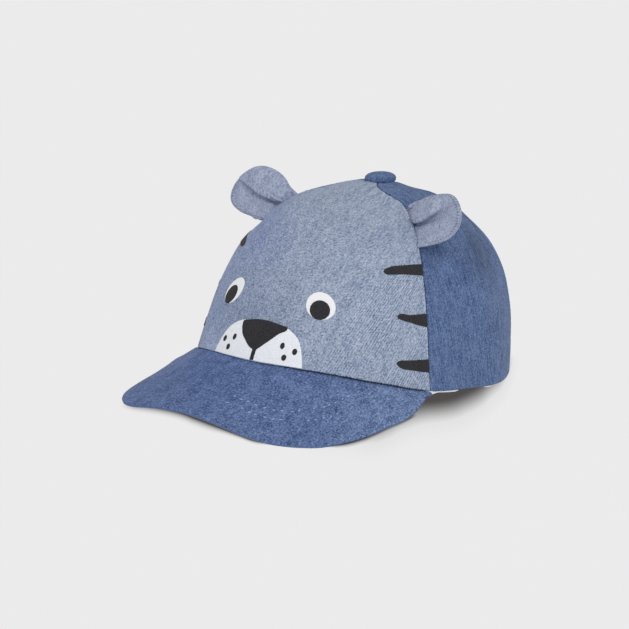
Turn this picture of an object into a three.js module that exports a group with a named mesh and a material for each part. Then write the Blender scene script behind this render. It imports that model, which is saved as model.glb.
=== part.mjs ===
import * as THREE from 'three';

// A toddler's denim cap: five crown panels that meet under a covered button, a curved
// peak, a white band inside the hem, two small ears in the front seams and an
// embroidered animal face. Millimetres, +Z up, the peak points to -Y, +X is the
// wearer's left. The cap rests on its back hem and the two sides of its peak, at z = 0.

// ---------------------------------------------------------------- driving sizes
const HALF_WIDTH = 70.05;     // crown, side to side, at the hem
const FRONT_REACH = 82.8;     // hem, from the head's middle to the front
const BACK_REACH = 82.9;      // hem, from the head's middle to the back
const CROWN_TOP = 90.65;      // height where the panels meet
const TOP_BACK = 18.3;        // the meeting point lies behind the middle of the hem
const TOP_SIDE = 1.5;         // and a little to one side
const TOP_MOVE = { side: -3.7, back: 7.1 };   // how far it has been pulled over, above four fifths of the climb
const TOP_RISE = { high: 1.5, toward: 36 };   // the cloth stands up in front of the button, on that side
const ORIGIN_Y = 23.9;        // puts the middle of the whole cap at y = 0
const CLOTH = 1.6;            // crown panel with its lining of seam cloth
const GAP = 0.3;              // between pieces that touch
const PANEL_END = 0.96;       // share of the climb where the panels stop, under the button
const BACK_SEAM = 132;        // angle of the seam between side and back panels
const VISOR_THICK = 2.2;      // board with denim on both sides
const BAND_HEIGHT = 24;       // sweatband above the hem
const BAND_THICK = 1.0;
const STITCHED = 0.5;         // thickness of the embroidered pieces

// Crown sections round the head. angle: 0 at the front, 90 at a side, 180 at the back.
// rim: height of the hem. upright, dome: powers of the wall's curve, 2 is an ellipse.
// hollow: how far the wall falls inside that curve, and below zero, stands outside it.
// plan: share by which the section stands outside an oval hem.
const CROWN = [
  { angle: 0, rim: 25.85, upright: 2.065, dome: 2.006, hollow: 0.351, plan: 1 },
  { angle: 25, rim: 24.29, upright: 2.124, dome: 2.105, hollow: 0.331, plan: 1 },
  { angle: 50, rim: 17.27, upright: 2.259, dome: 2.332, hollow: 0.285, plan: 1 },
  { angle: 68, rim: 10.29, upright: 2.349, dome: 2.484, hollow: 0.255, plan: 1 },
  { angle: 90, rim: 5.2, upright: 2.395, dome: 2.562, hollow: 0.239, plan: 1.002 },
  { angle: 110, rim: 1, upright: 2.332, dome: 2.482, hollow: 0.101, plan: 1.02 },
  { angle: 126, rim: 0, upright: 2.329, dome: 2.377, hollow: -0.058, plan: 1.0195 },
  { angle: 150, rim: 0, upright: 2.136, dome: 2.098, hollow: -0.51, plan: 1.001 },
  { angle: 180, rim: 0, upright: 1.963, dome: 1.882, hollow: -0.46, plan: 1 },
];

// The seam between the front and side panels: angle at the hem, its drift on the way up,
// how far the wearer's right one leans back near the top, and the left one forward.
const SEAM = { start: 68.93, drift: 3.135, bend: 6.208, lean: 30, swing: 49 };

// Outer edge of the peak. share: 0 at the middle, 1 at the end of the peak.
// out: sideways from the middle. fore: forward or back from the head's middle.
// left: how much further out the wearer's left side lies.
const VISOR_EDGE = [
  { share: 0, out: 0, fore: -133.7, left: 0 },
  { share: 0.1, out: 11.3, fore: -133.5, left: 0 },
  { share: 0.2, out: 22.2, fore: -132.4, left: 0 },
  { share: 0.3, out: 32.4, fore: -129.7, left: 0.1 },
  { share: 0.4, out: 41.7, fore: -124.4, left: 0.4 },
  { share: 0.5, out: 50.1, fore: -115.8, left: 0.9 },
  { share: 0.6, out: 57.2, fore: -104.2, left: 1.4 },
  { share: 0.7, out: 62.6, fore: -89.9, left: 1.6 },
  { share: 0.8, out: 66.2, fore: -72.9, left: 1.8 },
  { share: 0.9, out: 68.2, fore: -52.9, left: 2.1 },
  { share: 1, out: 68.2, fore: -29.9, left: -2 },
];
// The peak's arch: height over the hem's front, slope forward, drop to each side, the
// growth of that drop towards the hem, the ease of the drop near the edges, a slight
// sideways set from being bent by hand, and how far the front edge dips.
const ARCH = { height: 25.05, slope: 0.207, drop: 0.00627, grow: 0.0005, ease: 2.4835e-7, set: -3.9, roll: -0.0069, dip: 0.9 };

// Outline of each ear, from its upper end on the seam over the tip to its lower end.
// along: share of the outline. side, fore, high: place of the edge.
const EARS = {
  left: [
    { along: 0, side: 33.5, fore: -2.3, high: 88.5 },
    { along: 0.1, side: 38.1, fore: 0.8, high: 91.9 },
    { along: 0.22, side: 46.2, fore: 1.3, high: 95.3 },
    { along: 0.36, side: 57.6, fore: -0.7, high: 97.1 },
    { along: 0.5, side: 64.5, fore: -4.4, high: 91.3 },
    { along: 0.62, side: 65.2, fore: -6.9, high: 84.5 },
    { along: 0.73, side: 61.6, fore: -8.7, high: 79 },
    { along: 0.83, side: 56.2, fore: -10.5, high: 75.9 },
    { along: 0.91, side: 51.1, fore: -11.4, high: 74.2 },
    { along: 0.96, side: 48.1, fore: -12.4, high: 73.5 },
    { along: 1, side: 45.3, fore: -12.6, high: 72.8 },
  ],
  right: [
    { along: 0, side: 32.4, fore: -2.3, high: 85.2 },
    { along: 0.1, side: 39.7, fore: 0.8, high: 88.7 },
    { along: 0.22, side: 46.1, fore: 1.3, high: 94 },
    { along: 0.36, side: 55.1, fore: -0.7, high: 95.7 },
    { along: 0.5, side: 62.4, fore: -4.4, high: 91.4 },
    { along: 0.62, side: 66.7, fore: -6.9, high: 85.2 },
    { along: 0.73, side: 66.7, fore: -8.7, high: 78.3 },
    { along: 0.83, side: 60.4, fore: -10.5, high: 74.6 },
    { along: 0.91, side: 53.8, fore: -11.4, high: 73.7 },
    { along: 0.96, side: 49.2, fore: -12.4, high: 73.7 },
    { along: 1, side: 45.9, fore: -12.6, high: 73.4 },
  ],
};
// pleat: share of the outline where the fold runs at the seam, and run: further out.
// step: height of the fold. cup: how far the middle stands forward. top, pleatAt, bottom:
// share of the climb on the seam where the ear starts, folds and ends.
const EAR_FORM = { thick: 2.2, pleat: 0.56, step: 3.2, cup: 1.2, stand: 0.9 };
const EAR_ROOT = {
  left: { top: 0.755, pleatAt: 0.665, bottom: 0.54, run: 0.42 },
  right: { top: 0.695, pleatAt: 0.645, bottom: 0.52, run: 0.493 },
};

// Covered button. radius and rise above the crown.
const BUTTON = [
  { radius: 0, rise: 0.65 },
  { radius: 5.6, rise: 0.65 },
  { radius: 7, rise: 1.05 },
  { radius: 7.6, rise: 1.8 },
  { radius: 7.1, rise: 2.8 },
  { radius: 5.4, rise: 3.7 },
  { radius: 2.9, rise: 4.2 },
  { radius: 0, rise: 4.35 },
];

// Stripes by the front seams. angle along the crown, upper and lower: heights of the
// edges there. turn and lift move the wearer's right one, which isn't quite its mirror.
const STRIPES = [
  { turn: -5, lift: 1.4, rows: [
    { angle: 51.2, upper: 65.3, lower: 64.7 }, { angle: 52.5, upper: 66.1, lower: 63.7 },
    { angle: 54.8, upper: 66.6, lower: 63.4 }, { angle: 60, upper: 66.8, lower: 63.1 },
    { angle: 65, upper: 66.5, lower: 62.3 }, { angle: 70.6, upper: 65.9, lower: 61.1 } ] },
  { turn: 0, lift: 0, rows: [
    { angle: 56.8, upper: 45.8, lower: 45.1 }, { angle: 57.6, upper: 46.6, lower: 44.4 },
    { angle: 58.9, upper: 46.6, lower: 43.7 }, { angle: 62.2, upper: 45.6, lower: 42.1 },
    { angle: 66.3, upper: 45.2, lower: 40.1 }, { angle: 69.3, upper: 44.8, lower: 38.8 } ] },
  { turn: -11, lift: 4.5, rows: [
    { angle: 55.6, upper: 25.4, lower: 24.9 }, { angle: 56.4, upper: 26, lower: 23.7 },
    { angle: 57.6, upper: 26.2, lower: 22.6 }, { angle: 61.1, upper: 25.6, lower: 21.1 },
    { angle: 65.3, upper: 25, lower: 19.6 }, { angle: 68.6, upper: 24.5, lower: 18.4 } ] },
];

// The muzzle, one side: angle and height of its edge from the top middle down.
const MUZZLE = [
  { angle: 0, high: 43.2 }, { angle: 5, high: 42.9 }, { angle: 9, high: 42.2 },
  { angle: 12.6, high: 41.1 }, { angle: 15.1, high: 39.6 }, { angle: 17.4, high: 37.6 },
  { angle: 19, high: 35 }, { angle: 20, high: 32 }, { angle: 20.7, high: 29 },
  { angle: 21.1, high: 26 }, { angle: 14, high: 26 }, { angle: 7, high: 26.9 }, { angle: 0, high: 27.2 },
];
// The nose, from the top middle down the wearer's left, and the line under it.
const NOSE = [
  { angle: 0.8, high: 43.4 }, { angle: 5.2, high: 43 }, { angle: 9.3, high: 42.2 },
  { angle: 12.4, high: 41.3 }, { angle: 12.2, high: 40.2 }, { angle: 9.5, high: 38.7 },
  { angle: 6, high: 35.5 }, { angle: 2.5, high: 32.2 }, { angle: 1.1, high: 30.8 },
  { angle: 1.15, high: 27.3 }, { angle: -0.5, high: 27.3 }, { angle: -0.6, high: 30.8 },
  { angle: -2.9, high: 31.8 }, { angle: -5.7, high: 33.9 }, { angle: -8.2, high: 36 },
  { angle: -9.9, high: 38.7 }, { angle: -10.5, high: 41.2 }, { angle: -7.3, high: 42.4 },
  { angle: -3.2, high: 43.2 },
];
// Round pieces: angle and height of the middle, half width in degrees, half height, and
// how far each leans over towards its top.
const EYE = {
  left: { angle: 24.1, high: 51.4, wide: 6.6, tall: 5.75, lean: -1.6 },
  right: { angle: 26.3, high: 50.9, wide: 6, tall: 5.8, lean: -1.3 },
};
const PUPIL = {
  left: { angle: 24.2, high: 49.7, wide: 4.45, tall: 4.05, lean: -0.8 },
  right: { angle: 26.8, high: 49.1, wide: 4, tall: 4.05, lean: -0.6 },
};
const DOTS = [ { angle: 12, high: 34 }, { angle: 17.4, high: 32 }, { angle: 13.6, high: 29.3 } ];
const DOT = { wide: 1, tall: 1.35 };

// ---------------------------------------------------------------- shared curves
const rad = THREE.MathUtils.degToRad;
const v3 = (x, y, z) => new THREE.Vector3(x, y, z);

// A smooth curve through the rows of a table, by the named column.
function along(rows, by, column, at) {
  const last = rows.length - 1;
  let i = 0;
  while (i < last - 1 && at > rows[i + 1][by]) i++;
  const a = rows[i], b = rows[i + 1], h = b[by] - a[by];
  const rise = (p, q) => (q[column] - p[column]) / (q[by] - p[by]);
  const s = rise(a, b);
  const before = i > 0 ? rise(rows[i - 1], a) : null, after = i < last - 1 ? rise(b, rows[i + 2]) : null;
  const flat = rows === CROWN;
  const m0 = before === null ? (flat ? 0 : s) : (before + s) / 2;
  const m1 = after === null ? (flat ? 0 : s) : (after + s) / 2;
  const u = THREE.MathUtils.clamp((at - a[by]) / h, 0, 1);
  return a[column] * (2 * u ** 3 - 3 * u * u + 1) + b[column] * (3 * u * u - 2 * u ** 3)
    + h * (m0 * (u ** 3 - 2 * u * u + u) + m1 * (u ** 3 - u * u));
}
const fold = (angle) => Math.abs(((angle + 180) % 360 + 360) % 360 - 180);
const section = (angle) => {
  const a = fold(angle);
  return { rim: Math.max(0, along(CROWN, 'angle', 'rim', a)), upright: along(CROWN, 'angle', 'upright', a),
    dome: along(CROWN, 'angle', 'dome', a), hollow: along(CROWN, 'angle', 'hollow', a), plan: along(CROWN, 'angle', 'plan', a) };
};

// A point on the crown's outer face: direction round the head and share of the climb.
function crown(angle, climb) {
  const s = section(angle), turn = climb * Math.PI / 2;
  const v = Math.sin(turn) ** (2 / s.dome);
  const r = (Math.max(Math.cos(turn), 1e-9) ** (2 / s.upright) - s.hollow * v * (1 - v)) * s.plan;
  const c = Math.cos(rad(angle)), smooth = THREE.MathUtils.smoothstep, move = smooth(climb, 0.8, 1);
  const rise = TOP_RISE.high * smooth(Math.cos(rad(angle - TOP_RISE.toward)), -0.3, 0.7) * smooth(climb, 0.8, 0.91) * (1 - smooth(climb, 0.945, 0.99));
  return v3(HALF_WIDTH * Math.sin(rad(angle)) * r + TOP_SIDE * (1 - r) + TOP_MOVE.side * move,
    TOP_BACK * (1 - r) - (c > 0 ? FRONT_REACH : BACK_REACH) * c * r + ORIGIN_Y + TOP_MOVE.back * move,
    s.rim * (1 - v) + CROWN_TOP * v + rise);
}
// The same point moved outward by `out`, or inward when it is below zero.
function crownOut(angle, climb, out) {
  const t = THREE.MathUtils.clamp(climb, 0.004, 0.985), d = 0.004;
  const du = crown(angle + 0.5, t).sub(crown(angle - 0.5, t));
  const dv = crown(angle, t + d).sub(crown(angle, t - d));
  const n = du.cross(dv).normalize();
  if (n.dot(crown(angle, t).sub(v3(0, ORIGIN_Y, 20))) < 0) n.negate();
  n.z *= THREE.MathUtils.smoothstep(climb, 0, 0.12);
  return crown(angle, climb).addScaledVector(n.normalize(), out);
}
// Share of the climb at a given height.
function climbAt(angle, high) {
  const s = section(angle);
  const v = THREE.MathUtils.clamp((high - s.rim) / (CROWN_TOP - s.rim), 0, 1);
  return Math.asin(v ** (s.dome / 2)) * 2 / Math.PI;
}
const seamAngle = (climb, side = 1) => {
  const u = climb / 0.985, smooth = THREE.MathUtils.smoothstep;
  const lean = side < 0 ? SEAM.lean * smooth(climb, 0.62, 0.98) : -SEAM.swing * smooth(climb, 0.8, 1);
  return SEAM.start + SEAM.drift * u + SEAM.bend * u * u + lean;
};

// ---------------------------------------------------------------- solids
// A closed solid between two faces of a grid. With ring, the first row follows the last.
function slab(rows, cols, outer, inner, ring = false) {
  const pos = [], tri = [];
  const n = ring ? rows : rows + 1, m = cols + 1;
  for (const face of [outer, inner])
    for (let i = 0; i < n; i++) for (let j = 0; j < m; j++) { const p = face(i / rows, j / cols, i, j); pos.push(p.x, p.y, p.z); }
  const id = (f, i, j) => f * n * m + (i % n) * m + j;
  const quad = (a, b, c, d) => tri.push(a, b, c, a, c, d);
  for (let i = 0; i < rows; i++) {
    for (let j = 0; j < cols; j++) {
      quad(id(0, i, j), id(0, i + 1, j), id(0, i + 1, j + 1), id(0, i, j + 1));
      quad(id(1, i, j), id(1, i, j + 1), id(1, i + 1, j + 1), id(1, i + 1, j));
    }
    quad(id(1, i, 0), id(1, i + 1, 0), id(0, i + 1, 0), id(0, i, 0));
    quad(id(0, i, cols), id(0, i + 1, cols), id(1, i + 1, cols), id(1, i, cols));
  }
  if (!ring) for (let j = 0; j < cols; j++) {
    quad(id(0, 0, j), id(0, 0, j + 1), id(1, 0, j + 1), id(1, 0, j));
    quad(id(1, rows, j), id(1, rows, j + 1), id(0, rows, j + 1), id(0, rows, j));
  }
  return closed(pos, tri);
}
// A closed solid over an outline on the crown, drawn as rings about its middle.
function patch(outline, middle, rings, low) {
  const pos = [], tri = [], n = outline.length;
  for (const out of [low + STITCHED, low]) {
    const m = crownOut(middle.angle, climbAt(middle.angle, middle.high), out);
    pos.push(m.x, m.y, m.z);
    for (let k = 1; k <= rings; k++) for (const o of outline) {
      const a = middle.angle + (o.angle - middle.angle) * k / rings, h = middle.high + (o.high - middle.high) * k / rings;
      const p = crownOut(a, climbAt(a, h), out); pos.push(p.x, p.y, p.z);
    }
  }
  const base = 1 + n * rings, id = (f, k, i) => f * base + 1 + (k - 1) * n + (i % n);
  for (let i = 0; i < n; i++) {
    tri.push(0, id(0, 1, i), id(0, 1, i + 1), base, id(1, 1, i + 1), id(1, 1, i));
    for (let k = 1; k < rings; k++) {
      tri.push(id(0, k, i), id(0, k + 1, i), id(0, k + 1, i + 1), id(0, k, i), id(0, k + 1, i + 1), id(0, k, i + 1));
      tri.push(id(1, k, i), id(1, k + 1, i + 1), id(1, k + 1, i), id(1, k, i), id(1, k, i + 1), id(1, k + 1, i + 1));
    }
    tri.push(id(0, rings, i), id(1, rings, i), id(1, rings, i + 1), id(0, rings, i), id(1, rings, i + 1), id(0, rings, i + 1));
  }
  return closed(pos, tri);
}
// Turns the faces outward and gives the geometry its normals.
function closed(pos, tri) {
  let volume = 0;
  const at = (i) => v3(pos[3 * i], pos[3 * i + 1], pos[3 * i + 2]);
  for (let i = 0; i < tri.length; i += 3) volume += at(tri[i]).dot(at(tri[i + 1]).cross(at(tri[i + 2])));
  if (volume < 0) for (let i = 0; i < tri.length; i += 3) [tri[i], tri[i + 1]] = [tri[i + 1], tri[i]];
  const g = new THREE.BufferGeometry();
  g.setAttribute('position', new THREE.Float32BufferAttribute(pos, 3));
  g.setIndex(tri);
  g.computeVertexNormals();
  return g;
}

// A crown panel between two seams, each an angle as a function of the climb.
function panel(from, to, rows, cols = 12) {
  const spot = (i, j, out) => {
    const climb = PANEL_END * j;
    const r = THREE.MathUtils.clamp(crown(0, climb).distanceTo(crown(180, climb)) / 2, 5, HALF_WIDTH);
    // half the gap as an angle, wider where the seam runs aslant
    const clear = (seam) => THREE.MathUtils.radToDeg(GAP / 2 / r) * Math.hypot(1, rad(seam(climb + 0.01) - seam(climb - 0.01)) * r / 2.6);
    const a = from(climb) + clear(from), b = to(climb) - clear(to);
    return crownOut(a + (b - a) * i, climb, out);
  };
  return slab(rows, cols, (i, j) => spot(i, j, 0), (i, j) => spot(i, j, -CLOTH));
}

// The peak. side runs from -1 to 1 across it, reach from 0 at the hem to 1 at its edge.
function archHeight(x, y) {
  const s = x - ARCH.set * THREE.MathUtils.clamp((-82 - y) / 40 + 0.3, 0, 1);
  return ARCH.height + ARCH.slope * (y + 82) - (ARCH.drop + ARCH.grow * (y + 82) / 55) * s * s
    + ARCH.ease * s ** 4 + ARCH.roll * s;
}
function visorMid(side, reach) {
  const a = Math.abs(side);
  const hem = crownOut(side * SEAM.start, 0, -1.3);
  hem.y -= ORIGIN_Y; hem.z -= VISOR_THICK / 2 + GAP;
  const further = side > 0 ? along(VISOR_EDGE, 'share', 'left', a) : 0;
  const x = Math.sign(side) * (along(VISOR_EDGE, 'share', 'out', a) + further), y = along(VISOR_EDGE, 'share', 'fore', a);
  const smooth = THREE.MathUtils.smoothstep;
  const dip = ARCH.dip * smooth(side, -0.6, -0.3) * (1 - smooth(side, 0.36, 0.56)) * reach * reach;
  const p = v3(hem.x + (x - hem.x) * reach, hem.y + (y - hem.y) * reach, 0);
  const left = hem.z - archHeight(hem.x, hem.y);
  return v3(p.x, p.y + ORIGIN_Y, Math.min(hem.z, archHeight(p.x, p.y) + left * (1 - reach) ** 2 - dip));
}
function visorFace(side, reach, up) {
  const d = 0.01, w = THREE.MathUtils.clamp(reach, 0.02, 0.98);
  const n = visorMid(side + d, w).sub(visorMid(side - d, w)).cross(visorMid(side, w + d).sub(visorMid(side, w - d))).normalize();
  if (n.z < 0) n.negate();
  n.lerp(v3(0, 0, 1), 1 - THREE.MathUtils.smoothstep(reach, 0, 0.15)).normalize();
  return visorMid(side, reach).addScaledVector(n, up * VISOR_THICK / 2);
}
const visor = slab(32, 6, (i, j) => visorFace(2 * i - 1, j, 1), (i, j) => visorFace(2 * i - 1, j, -1));

// The white band inside the hem. Its lower edge shows under the hem at the sides.
function bandSpot(share, up, inset) {
  const angle = 360 * share, rim = section(angle).rim;
  const smooth = THREE.MathUtils.smoothstep, a = fold(angle);
  const low = Math.max(0.3, rim - 1.3 - 0.7 * (1 - smooth(a, 69, 74)) + 1.9 * smooth(a, 75, 83)), high = low + (rim + BAND_HEIGHT - low) * up;
  return high <= rim ? crownOut(angle, 0, -inset).setZ(high) : crownOut(angle, climbAt(angle, high), -inset);
}
const sweatband = slab(64, 3, (i, j) => bandSpot(i, j, CLOTH + 0.9), (i, j) => bandSpot(i, j, CLOTH + 0.9 + BAND_THICK), true);

// An ear: a folded double layer of cloth that stands out of the seam and faces forward.
const EAR_ROWS = [0.03, 0.09, 0.16, 0.24, 0.32, 0.4, 0.47, 0.525, 0.555, 0.585, 0.64, 0.71, 0.78, 0.85, 0.91, 0.965];
const word = (side) => (side > 0 ? 'left' : 'right');
function earMid(side, a, b) {
  const f = EAR_FORM, r = EAR_ROOT[word(side)], rows = EARS[word(side)];
  const climb = a < f.pleat ? r.top + (r.pleatAt - r.top) * a / f.pleat : r.pleatAt + (r.bottom - r.pleatAt) * (a - f.pleat) / (1 - f.pleat);
  const root = crownOut(side * seamAngle(climb, side), climb, f.stand);
  const edge = v3(side * along(rows, 'along', 'side', a), along(rows, 'along', 'fore', a) + ORIGIN_Y, along(rows, 'along', 'high', a));
  return root.lerp(edge, b);
}
// The fold moves along the outline on its way out from the seam.
function earRun(side, a, b) {
  const f = EAR_FORM, bump = a < f.pleat ? a / f.pleat : (1 - a) / (1 - f.pleat);
  return a + (EAR_ROOT[word(side)].run - f.pleat) * THREE.MathUtils.smoothstep(b, 0, 0.8) * bump;
}
function earSpot(side, a, b, layer) {
  const f = EAR_FORM, d = 0.01, t = earRun(side, a, b);
  const n = earMid(side, t + d, b).sub(earMid(side, t - d, b)).cross(earMid(side, t, b + d).sub(earMid(side, t, b - d))).normalize();
  if (n.y > 0) n.negate();
  const smooth = THREE.MathUtils.smoothstep;
  const lap = smooth(a, 0.12, 0.52) * (1 - smooth(a, f.pleat - 0.006, f.pleat + 0.024)) * smooth(b, -0.1, 0.2) * (1 - smooth(b, 0.3, 0.88));
  const cup = Math.sin(Math.PI * a) * Math.sin(Math.PI * b) * f.cup;
  return earMid(side, t, b).addScaledVector(n, f.step * lap + cup + layer * f.thick / 2);
}
const ear = (side) => slab(EAR_ROWS.length - 1, 5,
  (i, j, r) => earSpot(side, EAR_ROWS[r], j, 1), (i, j, r) => earSpot(side, EAR_ROWS[r], j, -1));

const top = crown(0, 1);
const button = new THREE.LatheGeometry(BUTTON.map((p) => new THREE.Vector2(p.radius, p.rise)), 20);
button.rotateX(Math.PI / 2);
button.translate(top.x, top.y, top.z);

// Embroidery
const oval = (o, side, count) => Array.from({ length: count }, (_, i) => {
  const a = i / count * 2 * Math.PI, h = Math.sin(a);
  return { angle: side * (o.angle + o.wide * Math.cos(a) + (o.lean ?? 0) * h), high: o.high + o.tall * h };
});
const round = (o, side, count, rings, low) => patch(oval(o, side, count), { angle: side * o.angle, high: o.high }, rings, low);
const muzzleEdge = [...MUZZLE, ...MUZZLE.slice(1, -1).reverse().map((p) => ({ angle: -p.angle, high: p.high }))];
const stripe = (s, side) => {
  const turn = side < 0 ? s.turn : 0, lift = side < 0 ? s.lift : 0, n = s.rows.length - 1;
  const spot = (r, j, out) => {
    const row = s.rows[r], share = r / n;
    const angle = row.angle + turn * (1 - share), high = row.lower + (row.upper - row.lower) * j + lift;
    return crownOut(side * angle, climbAt(angle, high), out);
  };
  return slab(n, 2, (i, j, r) => spot(r, j, GAP + STITCHED), (i, j, r) => spot(r, j, GAP));
};

// ---------------------------------------------------------------- the cap
const cap = new THREE.Group();
const cloth = (name, geometry, color) => {
  const mesh = new THREE.Mesh(geometry, new THREE.MeshStandardMaterial({ color, roughness: 0.95, metalness: 0 }));
  mesh.name = name;
  cap.add(mesh);
};
const LIGHT = 0x93a1b5, DARK = 0x5c6f93, DARKER = 0x586b91, WHITE = 0xe9eaee, THREAD = 0x343438;

cloth('front_panel', panel((t) => -seamAngle(t, -1), (t) => seamAngle(t), 28), LIGHT);
cloth('side_panel_left', panel((t) => seamAngle(t), () => BACK_SEAM, 10), DARK);
cloth('side_panel_right', panel(() => -BACK_SEAM, (t) => -seamAngle(t, -1), 10), DARK);
cloth('back_panel_left', panel(() => BACK_SEAM, () => 180, 8), DARK);
cloth('back_panel_right', panel(() => -180, () => -BACK_SEAM, 8), DARK);
cloth('visor', visor, DARKER);
cloth('sweatband', sweatband, WHITE);
cloth('button', button, DARKER);
cloth('ear_left', ear(1), LIGHT);
cloth('ear_right', ear(-1), LIGHT);
cloth('muzzle', patch(muzzleEdge, { angle: 0, high: 33 }, 5, GAP + 0.2), WHITE);
cloth('nose', patch(NOSE, { angle: 0, high: 38.5 }, 2, 2 * GAP + STITCHED + 0.25), THREAD);
for (const [name, side] of [['left', 1], ['right', -1]]) {
  cloth(`eye_white_${name}`, round(EYE[name], side, 18, 2, GAP), WHITE);
  cloth(`pupil_${name}`, round(PUPIL[name], side, 16, 1, 2 * GAP + STITCHED), THREAD);
  DOTS.forEach((d, i) => cloth(`whisker_dot_${name}_${i + 1}`, round({ ...d, ...DOT }, side, 8, 1, 2 * GAP + STITCHED + 0.2), THREAD));
  STRIPES.forEach((s, i) => cloth(`stripe_${name}_${i + 1}`, stripe(s, side), THREAD));
}

export default cap;
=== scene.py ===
import math

import bpy
import numpy as np
from mathutils import Matrix


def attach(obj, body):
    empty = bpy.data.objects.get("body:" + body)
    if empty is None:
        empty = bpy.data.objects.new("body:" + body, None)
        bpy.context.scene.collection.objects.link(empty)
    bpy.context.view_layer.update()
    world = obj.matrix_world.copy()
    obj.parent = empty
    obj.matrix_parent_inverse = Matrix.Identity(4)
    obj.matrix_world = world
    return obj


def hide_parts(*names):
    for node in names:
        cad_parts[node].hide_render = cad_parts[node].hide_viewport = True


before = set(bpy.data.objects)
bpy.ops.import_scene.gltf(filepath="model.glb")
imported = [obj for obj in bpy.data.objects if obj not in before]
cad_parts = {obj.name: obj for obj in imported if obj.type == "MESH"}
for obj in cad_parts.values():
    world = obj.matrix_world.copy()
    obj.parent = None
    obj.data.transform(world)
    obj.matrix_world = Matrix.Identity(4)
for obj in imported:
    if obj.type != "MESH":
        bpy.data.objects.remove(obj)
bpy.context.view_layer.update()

# A toddler's denim cap. Sizes here are millimetres, +Z up, the peak points to -Y and +X is
# the wearer's left. They turn into metres where a mesh is made.
MM = 0.001
ROOT = "root"

# ------------------------------------------------------------------ camera
VIEW_ACROSS, VIEW_DOWN, VIEW_FAR = math.radians(35.82), math.radians(15.359), 1825.17
RIGHT = np.array([math.cos(VIEW_ACROSS), math.sin(VIEW_ACROSS), 0.0])
BACK = np.array([math.sin(VIEW_ACROSS) * math.cos(VIEW_DOWN), -math.cos(VIEW_ACROSS) * math.cos(VIEW_DOWN), math.sin(VIEW_DOWN)])
UP = np.cross(BACK, RIGHT)
AIM = RIGHT * -18.734 + UP * 28.833 + np.array([0, 23.9, 0])
camera = bpy.data.objects.new("camera", bpy.data.cameras.new("camera"))
bpy.context.scene.collection.objects.link(camera)
camera.matrix_world = Matrix([[*row, p * MM] for row, p in zip(np.stack([RIGHT, UP, BACK], 1), AIM + BACK * VIEW_FAR)] + [[0, 0, 0, 1]])
camera.data.sensor_width = 36
camera.data.lens = 216.0
camera.data.clip_start, camera.data.clip_end = 0.1, 60
bpy.context.scene.camera = camera

# ------------------------------------------------------------------ the cap's curves
HALF_WIDTH, FRONT_REACH, BACK_REACH = 70.05, 82.8, 82.9
CROWN_TOP, TOP_BACK, TOP_SIDE, ORIGIN_Y = 90.65, 18.3, 1.5, 23.9
TOP_MOVE_SIDE, TOP_MOVE_BACK = -3.7, 7.1      # the meeting point has been pulled over
BACK_SEAM = 132.0
SEAM_START, SEAM_DRIFT, SEAM_BEND, SEAM_LEAN = 68.93, 3.135, 6.208, 30
CLOTH = 1.6


def spline(xs, ys, flat=False):
    """A smooth curve through a table's points."""
    xs, ys = np.array(xs, float), np.array(ys, float)
    slope = np.diff(ys) / np.diff(xs)
    m = np.empty(len(xs))
    m[1:-1] = (slope[:-1] + slope[1:]) / 2
    m[0], m[-1] = (0, 0) if flat else (slope[0], slope[-1])

    def at(x):
        x = np.asarray(x, float)
        i = np.clip(np.searchsorted(xs, x, side="left") - 1, 0, len(xs) - 2)
        h = xs[i + 1] - xs[i]
        u = np.clip((x - xs[i]) / h, 0, 1)
        return (ys[i] * (2 * u**3 - 3 * u * u + 1) + ys[i + 1] * (3 * u * u - 2 * u**3)
                + h * (m[i] * (u**3 - 2 * u * u + u) + m[i + 1] * (u**3 - u * u)))
    return at


ROUND = [0, 25, 50, 68, 90, 110, 126, 150, 180]
RIM = spline(ROUND, [25.85, 24.29, 17.27, 10.29, 5.2, 1, 0, 0, 0], True)
UPRIGHT = spline(ROUND, [2.065, 2.124, 2.259, 2.349, 2.395, 2.332, 2.329, 2.136, 1.963], True)
DOME = spline(ROUND, [2.006, 2.105, 2.332, 2.484, 2.562, 2.482, 2.377, 2.098, 1.882], True)
HOLLOW = spline(ROUND, [.351, .331, .285, .255, .239, .101, -.058, -.51, -.46], True)
PLAN = spline(ROUND, [1, 1, 1, 1, 1.002, 1.02, 1.0195, 1.001, 1], True)


def fold(angle):
    return np.abs((np.asarray(angle, float) + 180) % 360 - 180)


def rim_at(angle):
    return np.maximum(0, RIM(fold(angle)))


def smooth(x, a, b):
    t = np.clip((np.asarray(x, float) - a) / (b - a), 0, 1)
    return t * t * (3 - 2 * t)


def crown(angle, climb):
    angle, climb = np.broadcast_arrays(np.asarray(angle, float), np.asarray(climb, float))
    a = fold(angle)
    turn = climb * np.pi / 2
    v = np.sin(np.maximum(turn, 0)) ** (2 / DOME(a))
    r = (np.maximum(np.cos(turn), 1e-9) ** (2 / UPRIGHT(a)) - HOLLOW(a) * v * (1 - v)) * PLAN(a)
    t = np.radians(angle)
    c = np.cos(t)
    move = smooth(climb, .8, 1)
    rise = 1.5 * smooth(np.cos(t - math.radians(36)), -.3, .7) * smooth(climb, .8, .91) * (1 - smooth(climb, .945, .99))
    return np.stack([HALF_WIDTH * np.sin(t) * r + TOP_SIDE * (1 - r) + TOP_MOVE_SIDE * move,
                     TOP_BACK * (1 - r) - np.where(c > 0, FRONT_REACH, BACK_REACH) * c * r + ORIGIN_Y + TOP_MOVE_BACK * move,
                     rim_at(a) * (1 - v) + CROWN_TOP * v + rise], -1)


def unit(p):
    return p / np.maximum(np.linalg.norm(p, axis=-1, keepdims=True), 1e-12)


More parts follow.
